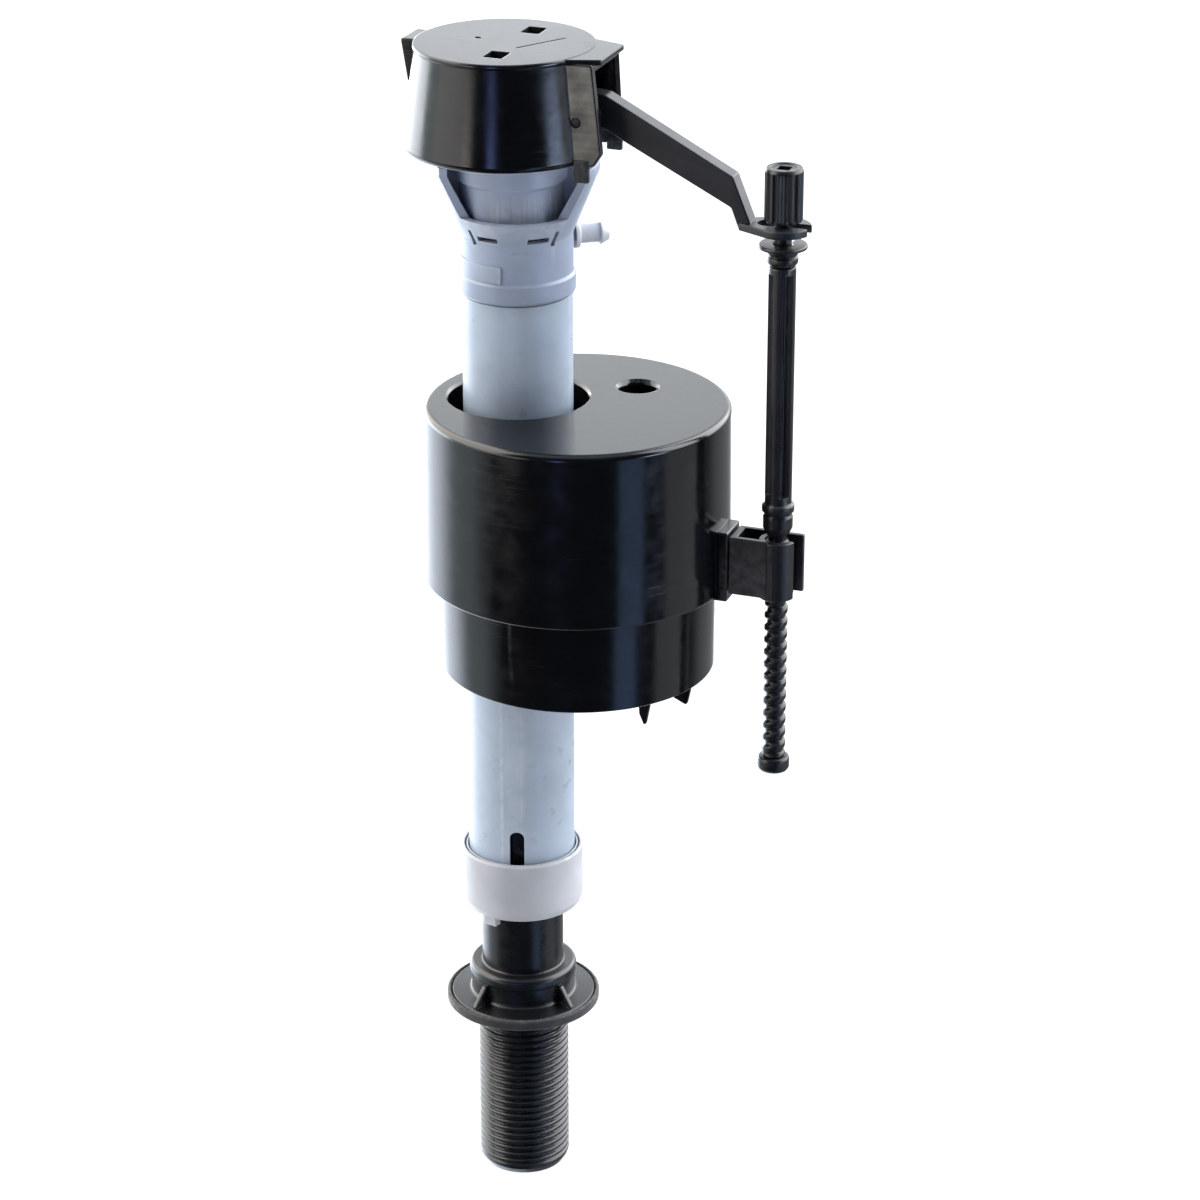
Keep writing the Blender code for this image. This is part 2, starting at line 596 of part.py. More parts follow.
def lever_web():
    """Side view of the lever: pilot arm, hub, sloping strap and the drop to the foot."""
    outline = [(-5.2, 232.4), (16.0, 232.6), (22.3, 231.9), (52.4, 216.2), (56.6, FOOT_TOP / MM),
               (56.6, FOOT_BOTTOM / MM), (53.9, FOOT_BOTTOM / MM), (52.0, 209.0), (27.2, 221.4),
               (22.0, 224.2), (17.0, 225.0), (13.5, 226.4), (11.5, 229.4), (-5.2, 229.4)]
    return plate("lever", [(x * MM, z * MM) for x, z in outline][::-1], 2 * LEVER_HALF, True)


def lever_foot():
    """Keyhole plate that snaps around the rod's neck and lets it slide as the lever swings."""
    edge = 124.0
    outline = [(54.0 * MM, -2.4 * MM)] + arc(ROD_X, 0.0, FOOT_R, -edge, edge, 22) + [(54.0 * MM, 2.4 * MM)]
    middle = (FOOT_BOTTOM + FOOT_TOP) / 2
    foot = plate("lever_foot", outline, FOOT_TOP - FOOT_BOTTOM, False, middle)
    half = NECK_R + 0.4 * MM
    low, high = FOOT_BOTTOM - MM, FOOT_TOP + MM
    inner_x = ROD_X - FOOT_SLIDE
    mouth_x, mouth_half = ROD_X + 9 * MM, half * math.sin(math.radians(45.0))
    keyhole = arc(inner_x, 0.0, half, 90, 270, 10) + arc(ROD_X, 0.0, half, -90, -45, 4)
    keyhole += [(mouth_x, -mouth_half), (mouth_x, mouth_half)] + arc(ROD_X, 0.0, half, 45, 90, 4)
    cut(foot, plate("keyhole", keyhole, high - low, False, middle))
    return foot


def make_lever(parent):
    lever = lever_web()
    set_origin(lever, PIVOT)
    join(lever, cross_cylinder("lever_hub", 3.0 * MM, 5.8 * MM, PIVOT, 24), lever_foot())
    cut(lever, cross_cylinder("lever_bore", PIN_R + 0.2 * MM, 10 * MM, PIVOT))
    cut(lever, cylinder("seal_pocket", 1.95 * MM, 228 * MM, 231.2 * MM, (HEAD_X, 0.0), 20))
    return finish(lever, BLACK_SATIN, parent)


def make_pilot_seal(parent):
    """Rubber button in the lever's short end that closes the pilot nozzle."""
    return finish(cylinder("pilot_seal", 1.65 * MM, 228.6 * MM, 230.9 * MM, (HEAD_X, 0.0), 20),
                  RUBBER, parent)


# --- rod and float group -------------------------------------------------------------------
def make_rod_retainer(parent):
    """Snap-on collar under the lever's foot, in which the rod turns."""
    bore = NECK_R + GAP
    outline = [(5.3 * MM, 201.4 * MM), (5.55 * MM, 201.1 * MM), (5.55 * MM, 200.5 * MM),
               (3.5 * MM, 200.2 * MM), (3.5 * MM, 199.2 * MM), (3.0 * MM, 198.8 * MM),
               (3.5 * MM, 198.4 * MM), (3.5 * MM, 197.2 * MM), (3.0 * MM, 196.5 * MM),
               (bore, 196.5 * MM), (bore, 201.4 * MM)]
    retainer = turned("rod_retainer", outline, (ROD_X, 0.0), 20)
    cut(retainer, block("retainer_mouth", (ROD_X - 1.7 * MM, 1.2 * MM, 195 * MM),
                        (ROD_X + 1.7 * MM, 8 * MM, 203 * MM)))
    return finish(retainer, BLACK_SATIN, parent)


def rod_blank():
    """Turned shape of the rod: knob, neck, stem, collar, screw and end stop."""
    recess_floor = KNOB_TOP - 2.7 * MM
    knob = [(0.0, recess_floor), (2.1 * MM, recess_floor), (2.1 * MM, KNOB_TOP),
            (KNOB_R - 0.4 * MM, KNOB_TOP), (KNOB_R, KNOB_TOP - 0.4 * MM), (KNOB_R, KNOB_BOTTOM)]
    stem = [(NECK_R, KNOB_BOTTOM), (NECK_R, STEM_TOP), (ROD_STEM_R, STEM_TOP), (ROD_STEM_R, STEM_BOTTOM)]
    collars = [(3.75, 139.2), (3.75, 137.7), (3.05, 137.1), (3.45, 136.3), (3.45, 133.7), (2.6, 131.9),
               (2.1, 131.4), (2.1, 130.4)]
    core = ROD_THREAD_R - ROD_THREAD_DEPTH
    end_stop = [(0.0, 3.7), (1.4, 3.5), (1.65, 2.9), (1.65, 0.8), (1.2, 0.0)]
    points = knob + stem + [(r * MM, z * MM) for r, z in collars]
    points += [(ROD_THREAD_R, z) for z in thread_levels(ROD_THREAD_TOP, ROD_THREAD_BOTTOM, ROD_PITCH, 3)]
    points += [(core + r * MM, ROD_BOTTOM + z * MM) for r, z in end_stop] + [(0.0, ROD_BOTTOM)]
    return bake(turned("adjusting_rod", points, (ROD_X, 0.0), 12))


def make_rod(parent):
    rod = rod_blank()
    cut_thread(rod, ROD_THREAD_TOP, ROD_THREAD_BOTTOM, ROD_THREAD_R, ROD_THREAD_DEPTH, ROD_PITCH)
    for quarter in range(4):
        flute = block(f"stem_flute_{quarter}", (1.1 * MM, 1.1 * MM, STEM_BOTTOM + 1.8 * MM),
                      (4 * MM, 4 * MM, STEM_TOP - 1.7 * MM), 90.0 * quarter)
        flute.location.x = ROD_X
        cut(rod, flute)
    for index in range(KNOB_GROOVES):
        angle = 2 * math.pi * index / KNOB_GROOVES
        groove = block(f"knob_groove_{index}", (KNOB_R - 0.4 * MM, -0.3 * MM, KNOB_BOTTOM - MM),
                       (KNOB_R + MM, 0.3 * MM, KNOB_TOP - 1.2 * MM), math.degrees(angle) + 15.0)
        groove.location.x = ROD_X
        cut(rod, groove)
    return finish(rod, BLACK_SATIN, parent)


def float_shell():
    """Stepped cup, open below, with its crowned rim."""
    wall = FLOAT_WALL
    outline = [(0.0, FLOAT_TOP), (FLOAT_R - 1.8 * MM, FLOAT_TOP), (FLOAT_R - 0.5 * MM, FLOAT_TOP - 0.6 * MM),
               (FLOAT_R, FLOAT_TOP - 1.8 * MM), (FLOAT_STEP_R, FLOAT_STEP + 0.5 * MM),
               (FLOAT_STEP_R - 0.5 * MM, FLOAT_STEP), (FLOAT_SKIRT_R + 0.3 * MM, FLOAT_STEP - 0.4 * MM),
               (FLOAT_SKIRT_R, FLOAT_STEP - 1.0 * MM), (FLOAT_SKIRT_R - 0.1 * MM, FLOAT_BOTTOM),
               (FLOAT_SKIRT_R - wall, FLOAT_BOTTOM), (FLOAT_SKIRT_R - wall, FLOAT_STEP + wall),
               (FLOAT_STEP_R - wall, FLOAT_STEP + wall + 0.2 * MM), (FLOAT_R - wall, FLOAT_TOP - wall),
               (0.0, FLOAT_TOP - wall)]
    return bake(turned("float_cup", outline, (FLOAT_X, 0.0), 42))


def make_float(parent):
    cup = float_shell()
    guide_top = FLOAT_TOP - FLOAT_WALL / 2
    join(cup, cylinder("float_guide", GUIDE_R + FLOAT_WALL, 96 * MM, guide_top, segments=32))
    join(cup, cylinder("pocket_wall", POCKET_R + 1.3 * MM, 141 * MM, guide_top, POCKET.xy, 24))
    join(cup, block("bracket", (49.6 * MM, -4.6 * MM, 115.0 * MM), (53.0 * MM, 4.6 * MM, 132.0 * MM)))
    fin = [(30.0, 110), (32.2, 84.0), (33.7, 80.5), (36.0, 92.5), (38.6, 90.5), (44.0, 88.0), (45.3, 94),
           (45.3, 110)]
    join(cup, plate("fin", [(x * MM, z * MM) for x, z in fin], 1.2 * MM, True, -5.4 * MM))
    cut(cup, cylinder("riser_hole", GUIDE_R, 90 * MM, 160 * MM, segments=28))
    cut(cup, cylinder("pocket", POCKET_R, 142.4 * MM, 160 * MM, POCKET.xy, 24))
    cut(cup, block("clip_socket", (50.9 * MM, -2.0 * MM, 117.7 * MM), (54 * MM, 2.0 * MM, 129.3 * MM)))
    return finish(cup, BLACK_GLOSS, parent)


def make_clip(parent):
    """Snap clip on the float's bracket that holds the rod's screw."""
    bore = ROD_THREAD_R + ROD_BORE_GAP
    clip = ring("adjuster_clip", bore - 0.4 * MM, 4.3 * MM, CLIP_BOTTOM, CLIP_TOP - 0.4 * MM,
                (ROD_X, 0.0), 28)
    low, high = 117.0 * MM, CLIP_TOP
    join(clip, block("clip_back", (53.3 * MM, -4.2 * MM, low), (54.9 * MM, 4.2 * MM, high)))
    join(clip, block("clip_front_arm", (53.5 * MM, -4.2 * MM, low), (62.4 * MM, -2.8 * MM, high)))
    join(clip, block("clip_rear_arm", (53.5 * MM, 2.9 * MM, low), (69.0 * MM, 4.2 * MM, high)))
    join(clip, block("clip_tongue", (51.3 * MM, -1.7 * MM, 118 * MM), (53.9 * MM, 1.7 * MM, 129 * MM)))
    cut(clip, block("clip_mouth", (65.2 * MM, -0.8 * MM, 110 * MM), (70 * MM, 2.9 * MM, 140 * MM)))
    cut(clip, cylinder("clip_bore", bore, 110 * MM, 140 * MM, (ROD_X, 0.0), 28))
    return finish(clip, BLACK_SATIN, parent)


def main():
    shank = make_shank()
    make_washer(shank)
    make_pipe_seal(shank)
    make_guide_ring(shank)

    riser = make_riser(shank)
    make_lock_ring(riser)
    make_supply_tube(riser)
    make_valve_seat(riser)
    make_valve_body(riser)
    make_refill_nipple(riser)

    cap = make_cap(riser)
    make_pivot_pin(cap)
    make_diaphragm(cap)
    make_diaphragm_insert(cap)
    make_metering_pin(cap)
    lever = make_lever(cap)
    make_pilot_seal(lever)

    retainer = make_rod_retainer(cap)
    make_rod(retainer)
    cup = make_float(retainer)
    make_clip(cup)


clear_scene()
PARTS = collection("toilet_fill_valve")
CUTTERS = collection("construction")
main()
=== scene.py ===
"""Looks of the toilet fill valve: fine surfaces, materials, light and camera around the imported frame.

Shapes are written in millimetres in the frame's own axes and become metres in new_object().
"""

import json
import math

import bmesh
import bpy
from mathutils import Matrix, Vector


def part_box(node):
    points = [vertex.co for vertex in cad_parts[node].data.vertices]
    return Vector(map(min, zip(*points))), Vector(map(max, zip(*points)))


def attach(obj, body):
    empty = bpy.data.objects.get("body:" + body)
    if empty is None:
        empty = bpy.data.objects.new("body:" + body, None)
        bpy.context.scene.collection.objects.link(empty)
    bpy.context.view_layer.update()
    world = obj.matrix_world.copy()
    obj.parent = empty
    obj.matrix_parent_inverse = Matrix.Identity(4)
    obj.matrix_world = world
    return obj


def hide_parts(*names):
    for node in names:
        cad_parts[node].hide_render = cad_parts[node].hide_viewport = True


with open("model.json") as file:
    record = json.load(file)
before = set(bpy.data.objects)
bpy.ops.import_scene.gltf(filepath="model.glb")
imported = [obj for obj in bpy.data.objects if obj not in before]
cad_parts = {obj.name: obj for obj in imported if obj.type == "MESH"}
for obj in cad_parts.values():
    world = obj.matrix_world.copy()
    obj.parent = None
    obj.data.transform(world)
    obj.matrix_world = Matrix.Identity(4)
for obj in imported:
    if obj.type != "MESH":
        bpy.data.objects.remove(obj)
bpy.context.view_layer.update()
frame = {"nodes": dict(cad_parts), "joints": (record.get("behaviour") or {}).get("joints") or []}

MM = 0.001
ROUND = 128                       # segments of a turned surface


def span(node):
    """Lowest and highest corner of a CAD node, in millimetres."""
    low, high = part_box(node)
    return low / MM, high / MM


def joint_place(name):
    """A joint's position in millimetres."""
    found = next(joint for joint in frame["joints"] if joint["name"] == name)
    return Vector(found["pos_m"]) / MM


SHANK_LOW, SHANK_HIGH = span("threaded_shank")
RISER_LOW, RISER_HIGH = span("riser_tube")
LOCK_LOW, LOCK_HIGH = span("lock_ring")
BODY_LOW, BODY_HIGH = span("valve_body")
CAP_LOW, CAP_HIGH = span("cap")
ROD_LOW, ROD_HIGH = span("adjusting_rod")
FLOAT_LOW, FLOAT_HIGH = span("float_cup")
CLIP_LOW, CLIP_HIGH = span("adjuster_clip")
HEAD = joint_place("cap_twist").xy
PIVOT = joint_place("lever_swing")
ROD = joint_place("rod_spin").xy
FLOAT_X = 14.7
FRONT = -68.4                     # azimuth of the side that faces the camera, in degrees


# --- mesh helpers ----------------------------------------------------------------------------
def rounded(points):
    """Closed outline whose corners (a, b, radius) become arcs; a corner (a, b) stays sharp."""
    made = []
    for index, (a, b, *radius) in enumerate(points):
        corner = Vector((a, b))
        if not radius:
            made.append(corner)
            continue
        back = Vector(points[index - 1][:2]) - corner
        ahead = Vector(points[(index + 1) % len(points)][:2]) - corner
        half = back.angle(ahead) / 2
        reach = min(radius[0] / math.tan(half), 0.49 * back.length, 0.49 * ahead.length)
        start, end = corner + reach * back.normalized(), corner + reach * ahead.normalized()
        centre = corner + (back.normalized() + ahead.normalized()).normalized() * reach / math.cos(half)
        first, last = start - centre, end - centre
        sweep = math.atan2(first.x * last.y - first.y * last.x, first.dot(last))
        steps = max(2, math.ceil(abs(sweep) * (1.6 + radius[0])))
        for step in range(steps + 1):
            made.append(centre + Matrix.Rotation(sweep * step / steps, 2) @ first)
    return made


def arc(centre, radius, start, end, count):
    """Points on a circle from one angle to another, in degrees."""
    angles = [math.radians(start + (end - start) * i / count) for i in range(count + 1)]
    return [(centre[0] + radius * math.cos(a), centre[1] + radius * math.sin(a)) for a in angles]


def new_object(name, bm):
    bmesh.ops.remove_doubles(bm, verts=bm.verts, dist=0.0005)
    bmesh.ops.recalc_face_normals(bm, faces=bm.faces)
    bmesh.ops.scale(bm, vec=(MM, MM, MM), verts=bm.verts)
    mesh = bpy.data.meshes.new(name)
    bm.to_mesh(mesh)
    bm.free()
    obj = bpy.data.objects.new(name, mesh)
    bpy.context.scene.collection.objects.link(obj)
    return obj


def lathe(name, outline, centre=(0.0, 0.0), segments=ROUND):
    """Solid turned about a vertical axis from (radius, z) or (radius, z, fillet) points that run
    down its outer side."""
    bm = bmesh.new()
    angles = [2 * math.pi * i / segments for i in range(segments)]
    rings = []
    for radius, z in rounded(outline):
        if radius < 0.0001:
            rings.append([bm.verts.new((centre[0], centre[1], z))])
        else:
            rings.append([bm.verts.new((centre[0] + radius * math.cos(a),
                                        centre[1] + radius * math.sin(a), z)) for a in angles])
    for upper, lower in zip(rings, rings[1:] + rings[:1]):
        if len(upper) == len(lower) == 1:
            continue
        for i in range(segments):
            corners = [upper[i % len(upper)], lower[i % len(lower)],
                       lower[(i + 1) % len(lower)], upper[(i + 1) % segments % len(upper)]]
            bm.faces.new(dict.fromkeys(corners))
    return new_object(name, bm)


def prism(name, outline, low, high, edge=0.3, upright=False):
    """Outline extruded from low to high along Z, with its rims rounded by edge.  An upright one
    holds (x, z) points and is extruded along Y."""
    bm = bmesh.new()
    base = bm.faces.new([bm.verts.new((u, v, low)) for u, v in rounded(outline)])
    lifted = bmesh.ops.extrude_face_region(bm, geom=[base])["geom"]
    for vert in lifted:
        if isinstance(vert, bmesh.types.BMVert):
            vert.co.z = high
    bmesh.ops.recalc_face_normals(bm, faces=bm.faces)
    if edge:
        rims = [e for e in bm.edges if abs(e.verts[0].co.z - e.verts[1].co.z) < 0.0001]
        bmesh.ops.bevel(bm, geom=rims, offset=edge, segments=3, profile=0.5, affect="EDGES")
    if upright:
        for vert in bm.verts:
            vert.co.y, vert.co.z = vert.co.z, vert.co.y
    return new_object(name, bm)


def block(name, low, high, edge=0.3, turn_z=0.0, about=(0.0, 0.0)):
    """Box between two corners with rounded edges, then turned about a vertical axis."""
    low, high = Vector(low), Vector(high)
    bm = bmesh.new()
    place = Matrix.Translation((low + high) / 2) @ Matrix.Diagonal((*(high - low), 1.0))
    bmesh.ops.create_cube(bm, size=1.0, matrix=place)
    if edge:
        bmesh.ops.bevel(bm, geom=bm.edges[:], offset=edge, segments=3, profile=0.5, affect="EDGES")
    return turned(new_object(name, bm), turn_z, about)


def turned(obj, degrees, about=(0.0, 0.0)):
    """Turn an object's mesh about a vertical axis."""
    centre = Vector((*about, 0.0)) * MM
    turn = Matrix.Rotation(math.radians(degrees), 4, "Z")
    obj.data.transform(Matrix.Translation(centre) @ turn @ Matrix.Translation(-centre))
    return obj


def laid(obj, point, degrees=90.0):
    """Lay a mesh that was turned about Z on its side, along azimuth degrees, at a point."""
    lay = Matrix.Rotation(math.radians(degrees), 4, "Z") @ Matrix.Rotation(math.pi / 2, 4, "Y")
    obj.data.transform(Matrix.Translation(Vector(point) * MM) @ lay)
    return obj


def combine(obj, tools, operation):
    """Boolean the tools into obj, one after the other, and remove them."""
    for tool in tools:
        modifier = obj.modifiers.new(tool.name, "BOOLEAN")
        modifier.operation = operation
        modifier.solver = "MANIFOLD"
        modifier.object = tool
        bpy.context.view_layer.update()
        evaluated = obj.evaluated_get(bpy.context.evaluated_depsgraph_get())
        mesh = bpy.data.meshes.new_from_object(evaluated)
        obj.modifiers.clear()
        obj.data = mesh
        bpy.data.objects.remove(tool, do_unlink=True)
    return obj


def join(obj, *tools):
    return combine(obj, tools, "UNION")


def cut(obj, *tools):
    return combine(obj, tools, "DIFFERENCE")


def cluster(name, *tools):
    """One object out of solids that don't touch, so that one Boolean takes them all."""
    bm = bmesh.new()
    for tool in tools:
        bm.from_mesh(tool.data)
        bpy.data.objects.remove(tool, do_unlink=True)
    bmesh.ops.scale(bm, vec=(1 / MM, 1 / MM, 1 / MM), verts=bm.verts)
    return new_object(name, bm)


def reshape(obj, radius_at, centre=(0.0, 0.0)):
    """Give each vertex the radius that radius_at(radius, angle, z) returns, all in millimetres."""
    for vertex in obj.data.vertices:
        x, y, z = vertex.co / MM
        x, y = x - centre[0], y - centre[1]
        radius = math.hypot(x, y)
        if radius > 0.01:
            scale = radius_at(radius, math.atan2(y, x), z) / radius
            vertex.co = Vector((centre[0] + x * scale, centre[1] + y * scale, z)) * MM
    return obj


def levels(top, bottom, count):
    return [top + (bottom - top) * i / count for i in range(count + 1)]


def smooth_step(value):
    value = max(0.0, min(1.0, value))
    return value * value * (3 - 2 * value)


def helix(top, bottom, crest, depth, pitch, flat):
    """Radius rule for a right-hand thread with a rounded groove; flat is the crest's share."""
    def radius_at(radius, angle, z):
        if radius < crest - depth - 0.01 or not bottom - 0.01 < z < top + 0.01:
            return radius
        phase = abs(2.0 * ((z / pitch - angle / (2 * math.pi)) % 1.0) - 1.0)
        fade = smooth_step(min(top - z, z - bottom) / (0.6 * pitch))
        return radius - depth * fade * smooth_step((phase - flat) / (0.92 - flat))
    return radius_at


def finish(obj, nodes, body, material, sharp=38.0):
    """Shade a piece, give it its material, and let it stand for its CAD nodes on their body."""
    obj.data.materials.clear()
    obj.data.materials.append(material)
    obj.data.shade_smooth()
    obj.data.set_sharp_from_angle(angle=math.radians(sharp))
    weighted = obj.modifiers.new("Weighted normals", "WEIGHTED_NORMAL")
    weighted.keep_sharp = True
    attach(obj, body)
    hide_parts(nodes)
    return obj


# --- material helpers --------------------------------------------------------------------------
def node(tree, kind, inputs=None, **settings):
    """Add a shader node; an input given as a socket is linked, and any other is set."""
    made = tree.nodes.new(kind)
    for name, value in settings.items():
        setattr(made, name, value)
    for name, value in (inputs or {}).items():
        if isinstance(value, bpy.types.NodeSocket):
            tree.links.new(value, made.inputs[name])
        else:
            made.inputs[name].default_value = value
    return made


def noise(tree, size, stretch=(1.0, 1.0, 1.0), detail=3.0, turn=0.0):
    """Noise whose features are about size millimetres, longer along an axis with a larger stretch."""
    place = node(tree, "ShaderNodeTexCoord").outputs["Object"]
    scale = tuple(1.0 / (size * MM * s) for s in stretch)
    mapped = node(tree, "ShaderNodeMapping", {"Vector": place, "Scale": scale,
                                              "Rotation": (0.0, 0.0, math.radians(turn))})
    return node(tree, "ShaderNodeTexNoise", {"Vector": mapped.outputs["Vector"], "Scale": 1.0,
                                             "Detail": detail}).outputs["Fac"]


def remap(tree, value, low, high, to_low, to_high):
    return node(tree, "ShaderNodeMapRange", {"Value": value, "From Min": low, "From Max": high,
                                             "To Min": to_low, "To Max": to_high}).outputs["Result"]


def blended(tree, factor, first, second):
    """Colour mix; first and second are colours or sockets."""
    mix = node(tree, "ShaderNodeMix", {"Factor": factor}, data_type="RGBA")
    for index, colour in ((6, first), (7, second)):
        if isinstance(colour, bpy.types.NodeSocket):
            tree.links.new(colour, mix.inputs[index])
        else:
            mix.inputs[index].default_value = (*colour, 1.0)
    return mix.outputs[2]


def maths(tree, operation, first, second):
    """Maths node; a wrap by second degrees keeps a value between -second and second."""
    made = node(tree, "ShaderNodeMath", operation=operation)
    values = (first, second, -second) if operation == "WRAP" else (first, second)
    for index, value in enumerate(values):
        if isinstance(value, bpy.types.NodeSocket):
            tree.links.new(value, made.inputs[index])
        else:
            made.inputs[index].default_value = value
    return made.outputs[0]


def bumped(tree, height, depth, normal, strength=1.0):
    """Bump of depth millimetres on top of another normal."""
    return node(tree, "ShaderNodeBump", {"Height": height, "Distance": depth * MM, "Normal": normal,
                                         "Strength": strength}).outputs["Normal"]


def moulded(name, colour, worn, roughness, spread=0.05, peel=0.012, grain=0.0, streaks=0.5,
            edge=0.25, specular=0.5, subsurface=0.0):
    """Injection-moulded plastic: mottled colour, flow streaks, orange peel, fine grain, hairline
    scratches, and edges that are rounded off and rubbed towards the worn colour."""
    material = bpy.data.materials.new(name)
    material.use_nodes = True
    tree = material.node_tree
    shader = tree.nodes["Principled BSDF"]
    shader.inputs["Specular IOR Level"].default_value = specular
    if subsurface:
        shader.inputs["Subsurface Weight"].default_value = subsurface
        shader.inputs["Subsurface Radius"].default_value = (1.0, 0.95, 0.9)
        shader.inputs["Subsurface Scale"].default_value = 1.2 * MM

    rounded_normal = node(tree, "ShaderNodeBevel", {"Radius": edge * MM}, samples=4).outputs["Normal"]
    mottle = noise(tree, 14.0, detail=4.0)
    flow = noise(tree, 0.9, stretch=(22.0, 22.0, 1.0), detail=4.0)
    hairlines = remap(tree, noise(tree, 0.3, stretch=(45.0, 45.0, 1.0), detail=2.0), 0.6, 0.72, 0.0, 1.0)
    scuffed = remap(tree, noise(tree, 16.0, detail=1.0), 0.48, 0.62, 0.0, 1.0)
    scratch = maths(tree, "MULTIPLY", hairlines, scuffed)
    pointed = node(tree, "ShaderNodeNewGeometry").outputs["Pointiness"]
    rubbed = maths(tree, "MULTIPLY", remap(tree, pointed, 0.52, 0.60, 0.0, 0.8),
                   remap(tree, noise(tree, 2.2), 0.35, 0.6, 0.25, 1.0))

    darker = tuple(0.86 * part for part in colour)
    lighter = tuple(min(1.0, 1.12 * part) for part in colour)
    base = blended(tree, remap(tree, mottle, 0.3, 0.7, 0.0, 1.0), darker, lighter)
    tree.links.new(blended(tree, rubbed, base, worn), shader.inputs["Base Color"])

    cloud = remap(tree, noise(tree, 5.0), 0.3, 0.7, roughness - spread, roughness + spread)
    streaked = maths(tree, "ADD", cloud, remap(tree, flow, 0.4, 0.75, 0.0, spread * streaks))
    scratched = maths(tree, "ADD", streaked, maths(tree, "MULTIPLY", scratch, 0.12))
    tree.links.new(maths(tree, "ADD", scratched, maths(tree, "MULTIPLY", rubbed, 0.08)),
                   shader.inputs["Roughness"])

    normal = bumped(tree, noise(tree, 2.6, detail=1.0), peel, rounded_normal)
    normal = bumped(tree, flow, 0.25 * peel * streaks, normal)
    if grain:
        normal = bumped(tree, noise(tree, 0.22, detail=2.0), grain, normal)
    normal = bumped(tree, maths(tree, "MULTIPLY", scratch, -1.0), 0.002, normal)
    tree.links.new(normal, shader.inputs["Normal"])
    return material


def rubber(name, colour):
    """Matt rubber: chalky mottling, fine pores and a soft sheen."""
    material = bpy.data.materials.new(name)
    material.use_nodes = True
    tree = material.node_tree
    shader = tree.nodes["Principled BSDF"]
    shader.inputs["Sheen Weight"].default_value = 0.25
    shader.inputs["Sheen Roughness"].default_value = 0.4
    chalk = remap(tree, noise(tree, 3.5, detail=5.0), 0.45, 0.75, 0.0, 0.5)
    pale = tuple(part * 1.6 + 0.02 for part in colour)
    tree.links.new(blended(tree, chalk, colour, pale), shader.inputs["Base Color"])
    tree.links.new(remap(tree, noise(tree, 1.2), 0.3, 0.7, 0.55, 0.8), shader.inputs["Roughness"])
    edge = node(tree, "ShaderNodeBevel", {"Radius": 0.3 * MM}, samples=4).outputs["Normal"]
    tree.links.new(bumped(tree, noise(tree, 0.3, detail=4.0), 0.03, edge), shader.inputs["Normal"])
    return material


def steel(name):
    """Bright drawn steel with lengthwise draw marks along Y."""
    material = bpy.data.materials.new(name)
    material.use_nodes = True
    tree = material.node_tree
    shader = tree.nodes["Principled BSDF"]
    shader.inputs["Metallic"].default_value = 1.0
    marks = noise(tree, 0.12, stretch=(1.0, 60.0, 1.0), detail=3.0)
    tint = remap(tree, noise(tree, 2.0), 0.3, 0.7, 0.0, 1.0)
    tree.links.new(blended(tree, tint, (0.55, 0.55, 0.56), (0.7, 0.69, 0.67)), shader.inputs["Base Color"])
    tree.links.new(remap(tree, marks, 0.3, 0.7, 0.18, 0.38), shader.inputs["Roughness"])
    edge = node(tree, "ShaderNodeBevel", {"Radius": 0.2 * MM}, samples=4).outputs["Normal"]
    tree.links.new(bumped(tree, marks, 0.004, edge), shader.inputs["Normal"])
    return material


WORN_BLACK = (0.04, 0.04, 0.045)
LOOKS = {
    "cap_black": moulded("cap_black", (0.0018, 0.002, 0.0026), WORN_BLACK, 0.17, streaks=1.0),
    "float_black": moulded("float_black", (0.0018, 0.002, 0.0026), WORN_BLACK, 0.15),
    "lever_black": moulded("lever_black", (0.005, 0.006, 0.009), WORN_BLACK, 0.34, grain=0.006),
    "clip_black": moulded("clip_black", (0.004, 0.004, 0.005), WORN_BLACK, 0.34, grain=0.006),
    "rod_black": moulded("rod_black", (0.004, 0.004, 0.005), WORN_BLACK, 0.32, grain=0.006),
    "shank_black": moulded("shank_black", (0.003, 0.0036, 0.0046), (0.03, 0.036, 0.042), 0.27, grain=0.008),
    "riser_grey": moulded("riser_grey", (0.31, 0.37, 0.46), (0.44, 0.48, 0.55), 0.3, subsurface=0.12),
    # body grey: the riser's grey plastic, darkened to paint the shade that falls on the neck under the cap
    "body_grey": moulded("body_grey", (0.255, 0.3, 0.4), (0.42, 0.45, 0.52), 0.32, subsurface=0.12),
    "nipple_grey": moulded("nipple_grey", (0.5, 0.52, 0.58), (0.7, 0.7, 0.72), 0.3, subsurface=0.2),
    "lock_ring_white": moulded("lock_ring_white", (0.37, 0.385, 0.42), (0.58, 0.58, 0.59), 0.4,
                               grain=0.01, subsurface=0.35),
    "plastic_white": moulded("plastic_white", (0.62, 0.62, 0.6), (0.75, 0.75, 0.73), 0.4, subsurface=0.3),
    "rubber_black": rubber("rubber_black", (0.014, 0.014, 0.015)),
    "rubber_red": rubber("rubber_red", (0.26, 0.035, 0.025)),
    "steel": steel("steel"),
}


# --- shank, riser and neck -----------------------------------------------------------------------
THREAD_TOP, THREAD_BOTTOM = -3.6, -42.6
SHANK_PITCH, SHANK_CREST = 1.814, 11.11
COLLAR_R, COLLAR_TOP = 13.1, 10.9
FLANGE_R = SHANK_HIGH.x
PIPE_R = 9.95
BORE_R = 7.5


